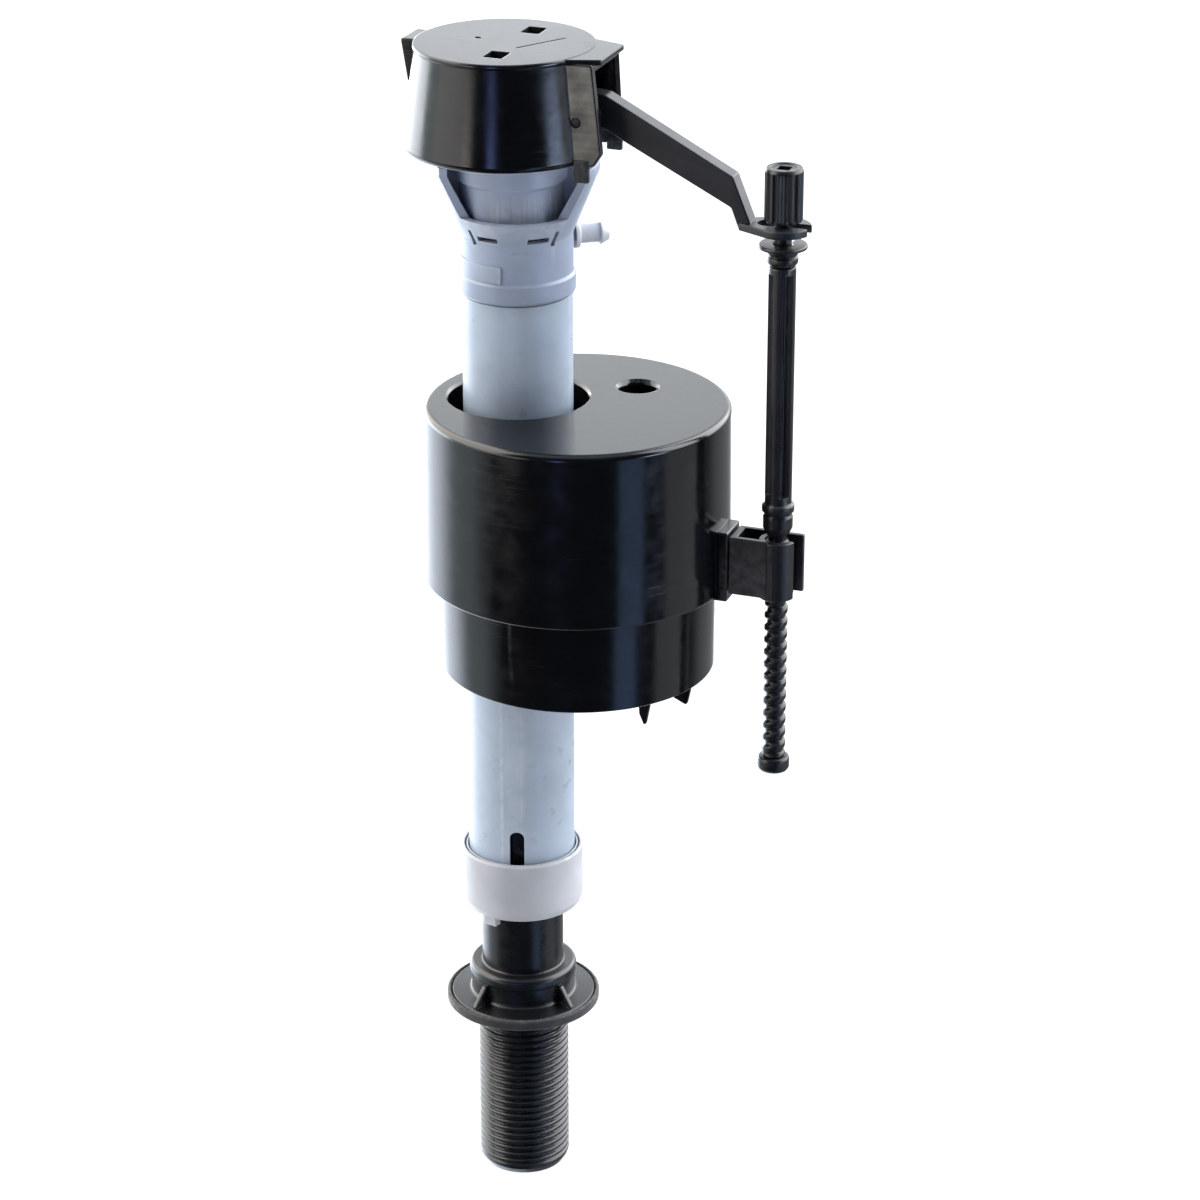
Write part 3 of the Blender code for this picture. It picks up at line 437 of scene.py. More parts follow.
def make_shank():
    """Threaded shank, ribbed base flange with its round collar, and the pipe above it."""
    pipe_top = SHANK_HIGH.z
    upper = [(8.9, pipe_top, 0.15), (PIPE_R, pipe_top, 0.4), (PIPE_R, COLLAR_TOP - 0.3, 0.5),
             (COLLAR_R - 0.1, COLLAR_TOP, 1.2), (COLLAR_R, 8.1, 0.45), (12.6, 7.7, 0.3), (12.6, 2.9, 0.9),
             (FLANGE_R, 2.5, 0.45), (FLANGE_R, 1.3, 0.3), (10.9, 1.3, 0.2), (10.9, THREAD_TOP + 0.2, 0.15)]
    thread = [(SHANK_CREST, z) for z in levels(THREAD_TOP, THREAD_BOTTOM, 258)]
    lower = [(10.9, SHANK_LOW.z + 1.6, 0.3), (10.0, SHANK_LOW.z, 0.5), (BORE_R, SHANK_LOW.z, 0.4),
             (BORE_R, pipe_top - 6.0), (8.9, pipe_top - 6.0)]
    shank = lathe("shank", upper + thread + lower, segments=96)
    reshape(shank, helix(THREAD_TOP, THREAD_BOTTOM, SHANK_CREST, 0.75, SHANK_PITCH, 0.25))
    rib = [(12.0, 7.4), (12.0, 2.0), (16.9, 2.0), (16.9, 3.0, 0.4), (13.4, 7.4, 0.5)]
    ribs = [turned(prism(f"rib_{index}", rib, -0.6, 0.6, 0.25, upright=True), -114.0 + 90.0 * index)
            for index in range(4)]
    join(shank, cluster("ribs", *ribs))
    return finish(shank, "threaded_shank", "base", LOOKS["shank_black"])


def make_washer():
    outer = span("tank_washer")[1].x
    outline = [(outer - 0.5, 2.6, 0.2), (outer, 2.2, 0.3), (outer, 0.3, 0.3), (outer - 0.3, 0.0, 0.2),
               (11.5, 0.0, 0.3), (11.5, 1.0, 0.2), (FLANGE_R + 0.3, 1.0, 0.1), (FLANGE_R + 0.3, 2.6, 0.15)]
    washer = lathe("washer", outline)
    return finish(washer, "tank_washer", "base", LOOKS["rubber_black"])


def make_riser():
    """Riser tube with a round-ended key slot on two sides of its foot."""
    outer, inner = RISER_HIGH.x, 11.4
    low, high = RISER_LOW.z, RISER_HIGH.z
    wall = [(inner, high, 0.2), (outer, high, 0.2), (outer, low, 0.3), (inner, low, 0.3)]
    riser = lathe("riser", wall)
    half, top = 1.75, 50.9
    slot = [(-half, low - 2.0), (half, low - 2.0), (half, top, half), (-half, top, half)]
    through = prism("key_slot", slot, -20.0, 20.0, 0.0, upright=True)
    cut(riser, turned(through, -74.0 - 90.0))
    return finish(riser, "riser_tube", "riser", LOOKS["riser_grey"])


def make_lock_ring():
    """Twist ring with a groove between its rim and the lip that wipes the riser."""
    outer, low, high = LOCK_HIGH.x, 27.1, LOCK_HIGH.z
    bore = RISER_HIGH.x + 0.3
    outline = [(outer - 0.85, high, 0.2), (outer, high - 0.3, 0.5), (outer, low + 2.2, 1.5),
               (14.1, low + 0.5, 0.8), (13.1, low, 0.5), (10.4, low, 0.3), (10.4, low + 2.6, 0.2),
               (bore, low + 2.6, 0.2), (bore, high - 0.2, 0.25), (bore + 0.45, high - 0.2, 0.2),
               (bore + 0.45, high - 1.5, 0.2), (outer - 0.85, high - 1.5, 0.2)]
    lock = lathe("twist_lock", outline)
    join(lock, block("lock_lug", (11.6, -1.8, LOCK_LOW.z), (13.8, 1.8, low + 1.3), 0.35, -104.0))
    return finish(lock, "lock_ring", "lock_ring", LOOKS["lock_ring_white"])


FLARE_R, FLARE_BOTTOM, FLARE_TOP = BODY_HIGH.x, 198.2, 212.5
HEAD_SEAT = 217.0
NECK_FACE = -73.0                 # azimuth that one of the neck's two windows faces
WINDOW_DEPTH, WINDOW_SILL = 9.0, 203.0
CHAMBER_CENTRE, CHAMBER_BORE_R = (-1.1, 0.0), 10.4
BOSS_BORE_R, BOSS_TOP = 7.2, 212.0
NIPPLE_AZIMUTH, NIPPLE_Z = 35.0, 195.6


def neck_shell():
    """Spigot, bead, sleeve and flare, opened by a window on each side."""
    riser_top = RISER_HIGH.z
    outline = [(FLARE_R, 214.5, 0.3), (FLARE_R, FLARE_TOP, 1.2), (13.2, FLARE_BOTTOM, 1.6),
               (12.95, 197.4), (12.95, 188.5, 0.5), (13.5, 187.9, 0.4), (13.5, 184.1, 0.5),
               (13.1, riser_top + 0.3, 0.1), (11.1, riser_top + 0.3), (11.1, BODY_LOW.z, 0.4),
               (9.8, BODY_LOW.z, 0.3), (9.8, 184.5, 1.0), (11.0, 186.0, 1.0), (11.0, 197.5, 1.0),
               (FLARE_R - 1.6, FLARE_TOP, 0.8), (FLARE_R - 1.6, 214.5, 0.3)]
    shell = lathe("neck", outline)
    for side in (-1, 1):
        near, far = sorted((side * WINDOW_DEPTH, side * 25.0))
        cut(shell, block(f"window_{side}", (-25.0, near, WINDOW_SILL), (25.0, far, 218.0), 0.0,
                         NECK_FACE + 90.0))
    return shell


def head_chamber():
    """Drain chamber with its pale band and a web on each side, trimmed to stay in the flare."""
    outline = [(0.0, 216.0), (12.9, 216.0), (12.9, 210.5, 0.5), (12.0, 210.0, 0.4), (11.7, 199.5),
               (0.0, 199.5)]
    chamber = lathe("chamber", outline, CHAMBER_CENTRE, ROUND - 8)
    join(chamber, block("side_web", (-18.4, -1.0, 199.0), (18.4, 1.0, 215.8), 0.2, NECK_FACE + 90.0))
    envelope = lathe("envelope", [(0.0, 224.0), (30.0, 224.0), (30.0, 212.0), (FLARE_R - 0.7, 212.0),
                                  (12.5, FLARE_BOTTOM), (0.0, FLARE_BOTTOM)], segments=ROUND - 12)
    combine(chamber, [envelope], "INTERSECT")
    bore = [(0.0, 218.0), (CHAMBER_BORE_R, 218.0), (CHAMBER_BORE_R, 197.0), (0.0, 197.0)]
    return cut(chamber, lathe("chamber_bore", bore, CHAMBER_CENTRE, ROUND - 8))


def head_flange():
    """Flange that seats the diaphragm, with the upstand around its rim."""
    outline = [(17.2, BODY_HIGH.z, 0.3), (17.2, HEAD_SEAT, 0.1), (17.4, HEAD_SEAT), (17.4, 215.4, 0.3),
               (11.0, 215.4, 0.2), (11.0, HEAD_SEAT, 0.2), (15.4, HEAD_SEAT, 0.2),
               (15.4, BODY_HIGH.z, 0.3)]
    return lathe("head_flange", outline, HEAD, ROUND - 8)


def catch_slots():
    """Snap slots around the neck: level ones beside the middle, leaning ones outside them."""
    slots = []
    for face in (NECK_FACE, NECK_FACE + 180.0):
        for side in (-1, 1):
            level = block(f"level_slot_{side}", (10.0, -2.6, 198.2), (16.0, 2.6, 199.4), 0.2)
            slots.append(turned(level, face + side * 25.8))
            outline = [(-0.9, 200.5, 0.25), (0.3, 200.5, 0.25), (0.9, 196.9, 0.25), (-0.3, 196.9, 0.25)]
            lean = prism(f"leaning_slot_{side}", [(side * u, v, r) for u, v, r in outline], 10.0, 16.0,
                         0.0, upright=True)
            slots.append(turned(lean, face + side * 44.1 - 90.0))
    return cluster("catch_slots", *slots)


def label_pad():
    """Blank raised pad that wraps the sleeve on one side, above the bead."""
    middle, reach = -118.0, 33.0
    outline = arc((0.0, 0.0), 13.3, middle - reach, middle + reach, 24)
    outline += arc((0.0, 0.0), 12.0, middle + reach, middle - reach, 24)
    return prism("label_pad", outline, 188.6, 192.6, 0.2)


def tube_boss():
    """Collar that holds the supply tube's end, on webs that reach the chamber's wall."""
    outline = [(9.0, BOSS_TOP, 0.3), (9.0, 205.0, 0.4),
               (BOSS_BORE_R, 205.0, 0.3), (BOSS_BORE_R, BOSS_TOP, 0.3)]
    boss = lathe("tube_boss", outline, segments=ROUND - 16)
    join(boss, block("web_x", (-12.2, -1.0, 205.5), (9.9, 1.0, 211.5), 0.2))
    join(boss, block("web_y", (-1.0, -11.0, 205.5), (1.0, 11.0, 211.5), 0.2))
    bore = [(0.0, 214.0), (BOSS_BORE_R, 214.0), (BOSS_BORE_R, 203.0), (0.0, 203.0)]
    return cut(boss, lathe("boss_bore", bore, segments=ROUND - 16))


def make_neck():
    neck = neck_shell()
    join(neck, head_chamber(), head_flange())
    join(neck, tube_boss(), label_pad())
    cut(neck, catch_slots())
    cut(neck, block("nipple_hole", (9.0, -1.9, NIPPLE_Z - 1.9), (16.0, 1.9, NIPPLE_Z + 1.9), 0.3,
                    NIPPLE_AZIMUTH))
    return finish(neck, "valve_body", "riser", LOOKS["body_grey"])


def make_nipple():
    """Barbed outlet for the bowl hose."""
    root, tip = 13.25, 21.5
    outline = [(1.3, tip, 0.2), (1.9, tip, 0.25), (2.9, tip - 2.1, 0.2), (2.3, tip - 2.3, 0.15),
               (2.3, root + 1.2, 0.3), (3.3, root + 1.2, 0.3), (3.3, root + 0.1), (1.6, root + 0.1),
               (1.6, 11.3, 0.2), (0.9, 11.3, 0.2), (0.9, root), (1.3, root + 1.0, 0.5)]
    nipple = laid(lathe("hose_nipple", outline, segments=64), (0.0, 0.0, NIPPLE_Z), NIPPLE_AZIMUTH)
    return finish(nipple, "refill_nipple", "riser", LOOKS["nipple_grey"])


# --- cap and lever ---------------------------------------------------------------------------------
CAP_TOP = CAP_HIGH.z
CAP_TOP_R, CAP_SKIRT_R, CAP_BOTTOM = 20.3, CAP_HIGH.y, 217.4
CAP_WALL = 1.5
HOUSING_HALF, HOUSING_FLARE = 9.2, 0.08


def housing_outline(inset, low, corner):
    """Side view of the lever housing, which leans with the skirt."""
    top = CAP_TOP - 1.0 - inset
    return [(6.0, low), (22.6 - inset, low, corner), (24.5 - inset, 220.6, corner),
            (21.7 - inset, top, 0.5), (6.0, top)]


def flared(housing):
    """Lean the housing's side walls outwards towards the bottom."""
    for vertex in housing.data.vertices:
        side = 1.0 if vertex.co.y > 0.0 else -1.0
        vertex.co.y += side * HOUSING_FLARE * (CAP_TOP * MM - vertex.co.z)
    return housing


def cap_outside():
    """Top plate with its lip, tapered skirt, lever housing, tab and rear ear."""
    outline = [(0.0, CAP_TOP), (CAP_TOP_R + 0.4, CAP_TOP, 0.35), (CAP_TOP_R + 0.5, CAP_TOP - 0.9, 0.3),
               (CAP_TOP_R + 0.1, CAP_TOP - 1.3, 0.12), (CAP_SKIRT_R, CAP_BOTTOM + 1.0, 1.2),
               (CAP_SKIRT_R - 0.6, CAP_BOTTOM, 0.4), (0.0, CAP_BOTTOM)]
    cap = lathe("bayonet_cap", outline, HEAD, ROUND + 32)
    join(cap, flared(prism("housing", housing_outline(0.0, CAP_BOTTOM + 0.2, 1.2), -HOUSING_HALF,
                           HOUSING_HALF, 0.4, upright=True)))
    tab = [(8.0, -10.0), (15.3, -10.0, 3.0), (23.3, -7.3, 0.6),
           (23.3, 7.3, 0.6), (15.3, 10.0, 3.0), (8.0, 10.0)]
    join(cap, prism("tab", tab, CAP_TOP - 1.4, CAP_TOP - 0.1, 0.25))
    ear = [(-18.0, CAP_TOP - 0.2), (-18.0, 230.0), (-24.5, 231.5, 0.5), (CAP_LOW.x, CAP_TOP - 0.2, 0.5)]
    return join(cap, prism("rear_ear", ear, -4.5, 4.5, 0.3, upright=True))


def cap_floor():
    """Disc across the cap with the membrane's clamping rib below and the pilot nozzle above."""
    low, top, edge = 222.5, 224.0, CAP_SKIRT_R + 2.0
    outline = [(0.8, top + 0.5, 0.1), (2.0, top + 0.5, 0.2), (2.6, top, 0.3), (edge, top), (edge, low),
               (15.0, low, 0.2), (15.0, 220.6, 0.2), (13.3, 220.6, 0.2), (13.3, low, 0.2), (0.8, low)]
    floor = lathe("pilot_floor", outline, HEAD, ROUND - 8)
    return cut(floor, block("floor_end", (18.6, -20.0, 210.0), (40.0, 20.0, 230.0), 0.0))


def cap_inside():
    """Space under the top plate and in the housing, less the floor that crosses it."""
    top, low = CAP_TOP - 1.6, CAP_BOTTOM - 2.0
    outline = [(0.0, top), (CAP_TOP_R - CAP_WALL, top, 0.6), (CAP_SKIRT_R - CAP_WALL + 0.3, low), (0.0, low)]
    inside = lathe("cap_cavity", outline, HEAD, ROUND + 20)
    half = HOUSING_HALF - CAP_WALL
    join(inside, flared(prism("housing_cavity", housing_outline(CAP_WALL, low - 1.0, 0.3), -half, half,
                              0.2, upright=True)))
    return cut(inside, cap_floor())


def cap_marks():
    """Square windows, vent and the shallow index groove in the top plate."""
    cutters = [block(f"top_window_{side}", (-2.3, side * 11.4 - 2.9, CAP_TOP - 4.0),
                     (2.3, side * 11.4 + 2.9, CAP_TOP + 2.0), 0.3) for side in (-1, 1)]
    cutters.append(lathe("vent", [(0.0, CAP_TOP + 2.0), (0.8, CAP_TOP + 2.0), (0.8, CAP_TOP - 4.0),
                                  (0.0, CAP_TOP - 4.0)], (-9.4, 1.0), 32))
    groove = block("index_groove", (-7.0, -0.35, CAP_TOP - 0.35), (7.0, 0.35, CAP_TOP + 1.0), 0.0)
    turned(groove, 58.0)
    groove.data.transform(Matrix.Translation(Vector((5.6, 1.4, 0.0)) * MM))
    return cluster("cap_marks", groove, *cutters)


def make_cap():
    cap = cap_outside()
    cut(cap, cap_inside())
    half = HOUSING_HALF - CAP_WALL
    cut(cap, flared(block("housing_mouth", (19.4, -half, 210.0), (30.0, half, CAP_TOP - 2.6), 0.0)))
    far_end = [(20.2, 6.0), (26.5, 6.0), (26.5, 14.0), (22.7, 14.0)]
    cut(cap, prism("far_end", far_end, 214.0, CAP_TOP - 1.45, 0.0))
    hole = lathe("pin_holes", [(0.0, 13.0), (1.15, 13.0), (1.15, -13.0), (0.0, -13.0)], segments=48)
    cut(cap, laid(hole, PIVOT), cap_marks())
    for side in (-1, 1):
        low = CAP_LOW.z + (1.8 if side > 0 else 0.0)
        join(cap, block(f"bayonet_lug_{side}", (18.0, side * 10.75 - 0.65, low),
                        (21.6, side * 10.75 + 0.65, 219.0), 0.3))
    return finish(cap, "cap", "cap", LOOKS["cap_black"])


FOOT_LOW, FOOT_HIGH, FOOT_R, FOOT_SLIDE = 204.0, 205.8, 6.36, 3.6
NECK_R = 2.0


def lever_foot():
    """Keyhole plate that snaps around the rod's neck."""
    outline = [(54.0, -2.4), *arc(ROD, FOOT_R, -124.0, 124.0, 40), (54.0, 2.4)]
    foot = prism("lever_foot", outline, FOOT_LOW, FOOT_HIGH, 0.3)
    half = NECK_R + 0.4
    mouth = half * math.sin(math.radians(45.0))
    keyhole = arc((ROD.x - FOOT_SLIDE, 0.0), half, 90, 270, 20) + arc(ROD, half, -90, -45, 6)
    keyhole += [(ROD.x + 9.0, -mouth), (ROD.x + 9.0, mouth)] + arc(ROD, half, 45, 90, 6)
    return cut(foot, prism("keyhole", keyhole, FOOT_LOW - 1.0, FOOT_HIGH + 1.0, 0.0))


def make_lever():
    """Pilot arm, hub, sloping strap and the drop to the foot."""
    side_view = [(-5.2, 232.4, 0.4), (16.0, 232.6, 2.0), (22.3, 231.9, 2.5), (52.4, 216.2, 0.8),
                 (56.6, FOOT_HIGH, 0.3), (56.6, FOOT_LOW), (53.9, FOOT_LOW, 0.8), (52.0, 209.0, 1.0),
                 (27.2, 221.4, 3.0), (22.0, 224.2, 3.0), (17.0, 225.0, 2.0), (13.5, 226.4, 1.0),
                 (11.5, 229.4, 1.0), (-5.2, 229.4, 0.4)]
    lever = prism("float_lever", side_view, -2.2, 2.2, 0.35, upright=True)
    hub = [(0.0, 5.8), (3.0, 5.8, 0.3), (3.0, -5.8, 0.3), (0.0, -5.8)]
    join(lever, laid(lathe("hub", hub, segments=72), PIVOT), lever_foot())
    bore = [(0.0, 10.0), (1.3, 10.0), (1.3, -10.0), (0.0, -10.0)]
    cut(lever, laid(lathe("hub_bore", bore, segments=48), PIVOT))
    pocket = [(0.0, 231.2), (1.95, 231.2), (1.95, 228.0), (0.0, 228.0)]
    cut(lever, lathe("seal_pocket", pocket, HEAD, 48))
    return finish(lever, "lever", "lever", LOOKS["lever_black"])


# --- rod, clip and float -----------------------------------------------------------------------------
KNOB_R, KNOB_LOW, KNOB_HIGH = 4.35, 206.7, ROD_HIGH.z
STEM_R, STEM_LOW, STEM_HIGH = 3.1, 139.7, 196.2
SCREW_CREST, SCREW_DEPTH, SCREW_PITCH = 2.7, 0.65, 3.1
SCREW_TOP, SCREW_BOTTOM = 130.2, 76.3


def knob_splines(radius, angle, z):
    """Radius rule for the sixteen ridges around the knob."""
    if not KNOB_LOW + 0.1 < z < KNOB_HIGH - 0.9 or radius < 3.6:
        return radius
    ridge = 0.5 + 0.5 * math.cos(16 * angle)
    return radius - 0.42 * (1.0 - smooth_step(1.8 * ridge))


def make_rod():
    """Splined knob with a square key hole, neck, cruciform stem, collars, screw and end stop."""
    knob = [(0.0, KNOB_HIGH - 0.3), (3.0, KNOB_HIGH - 0.3, 0.1),
            (3.3, KNOB_HIGH, 0.15), (4.0, KNOB_HIGH, 0.3), (KNOB_R, KNOB_HIGH - 0.8, 0.2)]
    knob += [(KNOB_R, z) for z in levels(KNOB_HIGH - 1.0, KNOB_LOW + 0.4, 24)]
    knob += [(KNOB_R - 0.3, KNOB_LOW, 0.2)]
    stem = [(NECK_R, KNOB_LOW, 0.2), (NECK_R, STEM_HIGH, 0.2),
            (STEM_R, STEM_HIGH, 0.4), (STEM_R, STEM_LOW, 0.4)]
    collars = [(3.75, 139.2, 0.4), (3.75, 137.7, 0.4), (3.05, 137.1, 0.3), (3.45, 136.3, 0.4),
               (3.45, 133.7, 0.6), (2.6, 131.9, 0.4), (2.1, 131.4, 0.3), (2.1, 130.5)]
    screw = [(SCREW_CREST, z) for z in levels(SCREW_TOP, SCREW_BOTTOM, 260)]
    stop = [(2.1, 76.1), (3.5, 75.9, 0.4), (3.75, 75.3, 0.4), (3.75, 73.2, 0.5), (3.3, ROD_LOW.z, 0.4),
            (0.0, ROD_LOW.z)]
    rod = lathe("level_rod", knob + stem + collars + screw + stop, ROD, 96)
    reshape(rod, helix(SCREW_TOP, SCREW_BOTTOM, SCREW_CREST, SCREW_DEPTH, SCREW_PITCH, 0.3), ROD)
    reshape(rod, knob_splines, ROD)
    flutes = [block(f"flute_{quarter}", (ROD.x + 1.1, 1.1, STEM_LOW + 1.8),
                    (ROD.x + 5.0, 5.0, STEM_HIGH - 1.7), 0.3, 90.0 * quarter, ROD)
              for quarter in range(4)]
    key_hole = block("key_hole", (ROD.x - 1.5, -1.5, KNOB_HIGH - 2.7),
                     (ROD.x + 1.5, 1.5, KNOB_HIGH + 1.0), 0.2)
    cut(rod, cluster("rod_cutters", key_hole, *flutes))
    return finish(rod, "adjusting_rod", "rod", LOOKS["rod_black"])


def make_rod_collar():
    """Snap-on collar under the lever's foot, in which the rod turns."""
    bore = NECK_R + 0.3
    outline = [(5.3, 201.4, 0.2), (5.55, 201.1, 0.2), (5.55, 200.5, 0.25), (3.5, 200.2, 0.2),
               (3.5, 199.2, 0.2), (3.0, 198.8, 0.2), (3.5, 198.4, 0.2), (3.5, 197.2, 0.2), (3.0, 196.5, 0.2),
               (bore, 196.5, 0.2), (bore, 201.4, 0.2)]
    collar = lathe("rod_collar", outline, ROD, 96)
    cut(collar, block("collar_mouth", (ROD.x - 1.7, 1.2, 195.0), (ROD.x + 1.7, 8.0, 203.0), 0.0))
    return finish(collar, "rod_retainer", "hanger", LOOKS["rod_black"])


def make_clip():
    """Clip on the float's bracket: two arms, a split sleeve around the screw, and a tongue."""
    bore, low, high = 2.95, 117.0, CLIP_HIGH.z
    sleeve = [(bore - 0.4, high - 0.4), (4.3, high - 0.4, 0.3),
              (4.3, CLIP_LOW.z, 0.3), (bore - 0.4, CLIP_LOW.z)]
    clip = lathe("rod_clip", sleeve, ROD, 96)
    join(clip, block("clip_back", (53.3, -4.2, low), (54.9, 4.2, high), 0.25))
    join(clip, block("clip_front_arm", (53.5, -4.2, low), (62.4, -2.8, high), 0.25))
    join(clip, block("clip_rear_arm", (53.5, 2.9, low), (69.0, 4.2, high), 0.25))
    join(clip, block("clip_tongue", (51.3, -1.7, 118.0), (53.9, 1.7, 129.0), 0.2))
    cut(clip, block("clip_mouth", (65.2, -0.8, 110.0), (70.0, 2.9, 140.0), 0.0))
    channel = [(0.0, 140.0), (bore, 140.0), (bore, 110.0), (0.0, 110.0)]
    cut(clip, lathe("clip_bore", channel, ROD, 80))
    return finish(clip, "adjuster_clip", "float", LOOKS["clip_black"])


FLOAT_TOP, FLOAT_STEP, FLOAT_BOTTOM = FLOAT_HIGH.z, 115.6, 93.4
FLOAT_R, SKIRT_R, FLOAT_WALL = FLOAT_HIGH.y, 32.3, 1.6
GUIDE_R = 16.2
POCKET = (24.0, 15.1)
POCKET_R = 4.3


def float_shell():
    """Stepped cup, open below, with a crowned rim."""
    wall, rim = FLOAT_WALL, FLOAT_R - 0.4
    outline = [(0.0, FLOAT_TOP), (rim, FLOAT_TOP, 1.5), (FLOAT_R, FLOAT_STEP, 0.7),
               (SKIRT_R + 0.1, FLOAT_STEP - 0.5, 0.5), (SKIRT_R - 0.1, FLOAT_BOTTOM, 0.4),
               (SKIRT_R - wall, FLOAT_BOTTOM, 0.4), (SKIRT_R - wall, FLOAT_STEP + wall, 0.6),
               (FLOAT_R - wall, FLOAT_STEP + wall + 0.2, 0.8), (rim - wall, FLOAT_TOP - wall, 0.8),
               (0.0, FLOAT_TOP - wall)]
    return lathe("float", outline, (FLOAT_X, 0.0), ROUND + 40)


def hole_cutter(name, centre, radius, low, flare, segments):
    """Cutter for a hole in the float's top whose rim is eased by flare."""
    top = FLOAT_TOP + 2.0
    outline = [(0.0, top), (radius + flare, top), (radius + flare, FLOAT_TOP),
               (radius, FLOAT_TOP - flare, flare), (radius, low), (0.0, low)]
    return lathe(name, outline, centre, segments)


def make_float():
    cup = float_shell()
    inside_top = FLOAT_TOP - FLOAT_WALL / 2
    guide = [(0.0, inside_top), (GUIDE_R + FLOAT_WALL, inside_top),
             (GUIDE_R + FLOAT_WALL, 96.0, 0.4), (0.0, 96.0)]
    well = [(0.0, inside_top), (POCKET_R + 1.3, inside_top), (POCKET_R + 1.3, 141.0, 0.6), (0.0, 141.0)]
    join(cup, lathe("float_guide", guide, segments=ROUND - 8), lathe("well", well, POCKET, 72))
    join(cup, block("bracket", (49.0, -4.6, 115.0), (FLOAT_HIGH.x, 4.6, 132.0), 0.35))
    fin = [(30.0, 110.0), (32.2, 84.0, 0.3), (33.7, FLOAT_LOW.z, 0.4), (36.0, 92.5, 0.5), (38.6, 90.5, 1.0),
           (44.0, 88.0, 0.5), (45.3, 94.0, 0.5), (45.3, 110.0)]
    join(cup, prism("fin", fin, -6.0, -4.8, 0.2, upright=True))
    cut(cup, hole_cutter("riser_hole", (0.0, 0.0), GUIDE_R, 90.0, 0.7, ROUND - 16))
    cut(cup, hole_cutter("pocket", POCKET, POCKET_R, 142.4, 0.9, 64))
    cut(cup, block("clip_socket", (50.9, -2.0, 117.7), (54.0, 2.0, 129.3), 0.2))
    return finish(cup, "float_cup", "float", LOOKS["float_black"])


# --- inner pieces -------------------------------------------------------------------------------------
def make_inner_pieces():
    """Round pieces inside the valve, each turned from its own outline."""
    supply_low, supply_high = span("supply_tube")
    seal_low, seal_high = span("pipe_seal")
    ring_low, ring_high = span("pipe_guide_ring")
    bore = supply_high.x + 0.3
    pieces = [
        ("water_tube", "supply_tube", "riser", "plastic_white", (0.0, 0.0),
         [(5.4, supply_high.z, 0.3), (6.9, supply_high.z, 0.3), (6.9, supply_low.z, 0.5),
          (5.4, supply_low.z, 0.3)]),
        ("lip_seal", "pipe_seal", "base", "rubber_black", (0.0, 0.0),
         [(8.6, seal_high.z, 0.15), (8.6, seal_low.z, 0.3), (bore, seal_low.z, 0.2), (bore, seal_high.z, 0.1),
          (bore + 0.4, seal_high.z, 0.1), (bore + 0.7, seal_low.z + 2.6, 0.3), (8.2, seal_high.z, 0.1)]),
        ("snap_ring", "pipe_guide_ring", "base", "plastic_white", (0.0, 0.0),
         [(11.1, ring_high.z, 0.4), (11.1, ring_low.z, 0.3), (10.25, ring_low.z, 0.2),
          (10.25, SHANK_HIGH.z + 0.3, 0.2), (bore, SHANK_HIGH.z + 0.3, 0.2), (bore, ring_high.z, 0.4)]),
        ("seat_insert", "valve_seat", "riser", "plastic_white", HEAD,
         [(4.8, 217.9, 0.3), (5.8, 217.2, 0.3), (5.8, 213.8, 0.3), (8.7, 213.8, 0.2), (8.7, 212.3, 0.2),
          (4.0, 212.3, 0.2), (4.0, 217.9, 0.3)]),
        ("metering_wire", "metering_pin", "cap", "steel", (HEAD.x, 3.15),
         [(0.0, 222.2), (0.4, 222.2, 0.1), (0.4, 214.6, 0.15), (0.0, 214.6)]),
        ("pilot_button", "pilot_seal", "lever", "rubber_black", HEAD,
         [(0.0, 230.9), (1.65, 230.9, 0.2), (1.65, 228.6, 0.3), (0.0, 228.6)]),
    ]
    for name, cad, body, slot, centre, outline in pieces:
        finish(lathe(name, outline, centre, 96), cad, body, LOOKS[slot])


def make_pivot_pin():
    half = span("pivot_pin")[1].y
    outline = [(0.0, half), (1.1, half, 0.25), (1.1, -half, 0.25), (0.0, -half)]
    pin = laid(lathe("hinge_pin", outline, segments=64), PIVOT)
    return finish(pin, "pivot_pin", "cap", LOOKS["lever_black"])


def dress(name, slot):
    """Give a CAD node that stays its finished material."""
    obj = frame["nodes"][name]
    obj.material_slots[0].material = LOOKS[slot]


# --- stage ----------------------------------------------------------------------------------------------
def make_floor():
    """Pale, evenly lit floor under the shank; reflections see the studio around it instead."""
    material = bpy.data.materials.new("floor_white")
    material.use_nodes = True
    shader = material.node_tree.nodes["Principled BSDF"]
    shader.inputs["Base Color"].default_value = (0.1, 0.1, 0.1, 1.0)
    shader.inputs["Roughness"].default_value = 0.9
    shader.inputs["Emission Color"].default_value = (1.0, 1.0, 1.0, 1.0)
    shader.inputs["Emission Strength"].default_value = 0.95
    bm = bmesh.new()
    bmesh.ops.create_circle(bm, cap_ends=True, segments=96, radius=6000.0,
                            matrix=Matrix.Translation((0.0, 0.0, SHANK_LOW.z - 0.05)))
    floor = new_object("floor", bm)
    floor.data.materials.append(material)
    floor.visible_glossy = False


def strip(tree, azimuth, elevation, centre, width, soft, low, high):
    """Mask of a soft-edged panel in the surroundings, by direction in degrees from the front."""
    turned_by = maths(tree, "WRAP", maths(tree, "SUBTRACT", azimuth, centre), 180.0)
    offset = maths(tree, "ABSOLUTE", turned_by, 0.0)
    across = remap(tree, offset, (width + soft) / 2, (width - soft) / 2, 0.0, 1.0)
    above = remap(tree, elevation, low - 2.0, low + 2.0, 0.0, 1.0)
    below = remap(tree, elevation, high + 2.0, high - 2.0, 0.0, 1.0)
    return maths(tree, "MULTIPLY", across, maths(tree, "MULTIPLY", above, below))


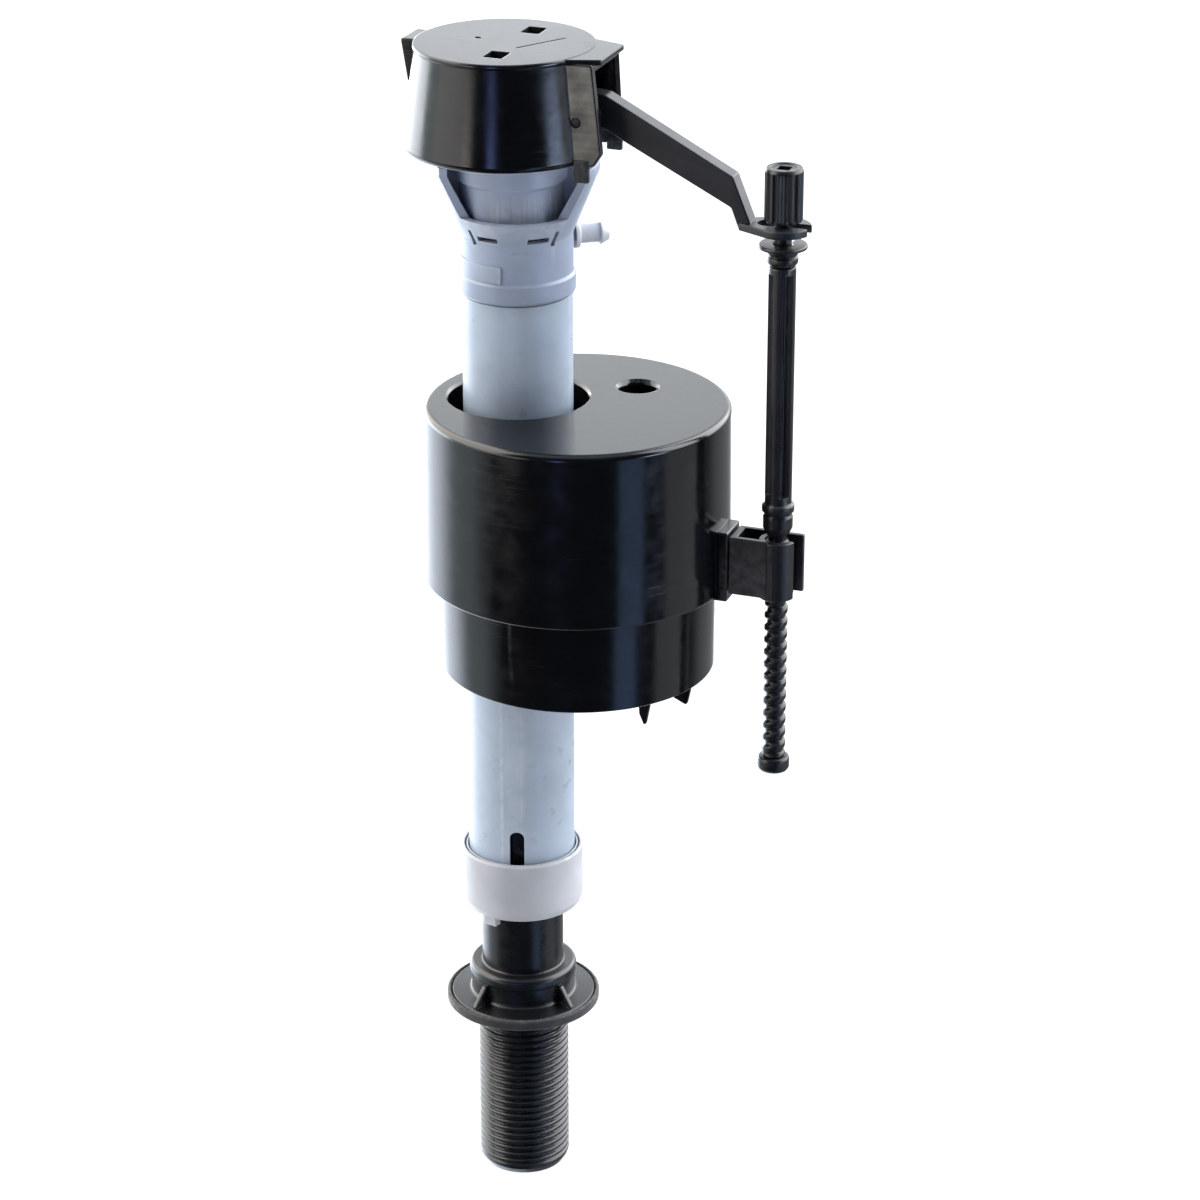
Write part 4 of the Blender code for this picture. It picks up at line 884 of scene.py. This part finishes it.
STUDIO = [  # centre, width, softness, lowest and highest elevation (degrees), colour, strength
    (180.0, 210.0, 40.0, -8.0, 46.0, (0.95, 0.99, 1.03), 1.95),   # backdrop
    (-108.0, 96.0, 14.0, 4.0, 62.0, (1.04, 1.0, 0.95), 5.0),      # large soft panel, left
    (108.0, 84.0, 14.0, 4.0, 62.0, (0.98, 1.0, 1.03), 6.5),       # its fill, right
    (-146.0, 80.0, 10.0, -17.0, 6.0, (0.93, 0.99, 1.04), 7.6),    # rim light, left behind
    (-150.0, 100.0, 30.0, -90.0, -17.0, (0.9, 0.98, 1.1), 3.1),   # floor light, left behind
    (-96.0, 38.0, 20.0, -90.0, -17.0, (0.86, 1.0, 1.06), 1.0),    # low wall, left
    (-96.0, 20.0, 6.0, -17.0, 4.0, (0.88, 1.02, 1.06), 1.5),      # pale strip beside the wall
    (-68.0, 40.0, 8.0, -17.0, 4.0, (1.02, 1.0, 0.98), 2.0),       # beige wall, left
    (-44.0, 10.0, 4.0, -10.0, -2.0, (1.03, 1.0, 0.92), 5.4),      # pale post, left
    (-16.0, 8.0, 4.0, -15.0, 0.0, (0.32, 0.42, 1.0), 5.0),        # thin blue strip
    (57.0, 17.0, 7.0, -14.0, -3.0, (0.55, 0.7, 1.0), 12.0),       # window, right
    (39.0, 19.0, 3.0, -90.0, -17.0, (0.38, 0.58, 1.0), 1.3),      # window light on the ground
    (86.0, 38.0, 5.0, -90.0, -17.0, (0.92, 0.96, 1.0), 0.65),     # low wall, right
    (140.0, 50.0, 15.0, -90.0, -10.0, (0.95, 0.98, 1.0), 0.4),    # low light, right behind
]


def make_studio():
    """Surroundings: a dim room in front, a pale ceiling, and the panels of the studio."""
    world = bpy.data.worlds.new("studio")
    bpy.context.scene.world = world
    world.use_nodes = True
    tree = world.node_tree
    direction = node(tree, "ShaderNodeTexCoord").outputs["Generated"]
    turn = node(tree, "ShaderNodeVectorRotate", {"Vector": direction, "Angle": math.radians(-FRONT)},
                rotation_type="Z_AXIS")
    axes = node(tree, "ShaderNodeSeparateXYZ", {"Vector": turn.outputs["Vector"]})
    azimuth = maths(tree, "DEGREES", maths(tree, "ARCTAN2", axes.outputs["Y"], axes.outputs["X"]), 0.0)
    elevation = maths(tree, "DEGREES", maths(tree, "ARCSINE", axes.outputs["Z"], 0.0), 0.0)
    ceiling = remap(tree, elevation, 40.0, 70.0, 0.0, 1.0)
    colour = blended(tree, ceiling, (0.025, 0.028, 0.036), (0.72, 0.9, 1.08))
    for *place, tint, strength in STUDIO:
        mask = strip(tree, azimuth, elevation, *place)
        colour = blended(tree, mask, colour, tuple(strength * part for part in tint))
    tree.links.new(colour, tree.nodes["Background"].inputs["Color"])


def make_camera():
    camera = bpy.data.cameras.new("camera")
    camera.lens = 117.94
    camera.sensor_width = 36.0
    camera.clip_start = 0.05
    obj = bpy.data.objects.new("camera", camera)
    obj.location = (0.3162, -0.7993, 0.4676)
    obj.rotation_euler = (math.radians(67.18), 0.0, math.radians(20.32))
    bpy.context.scene.collection.objects.link(obj)
    bpy.context.scene.camera = obj
    bpy.context.scene.view_settings.view_transform = "Standard"


make_camera()
make_studio()
make_floor()
make_shank()
make_washer()
make_riser()
make_lock_ring()
make_neck()
make_nipple()
make_cap()
make_lever()
make_rod()
make_rod_collar()
make_clip()
make_float()
make_inner_pieces()
make_pivot_pin()
for cad_name, cad_slot in (("diaphragm", "rubber_red"), ("diaphragm_insert", "plastic_white")):
    dress(cad_name, cad_slot)
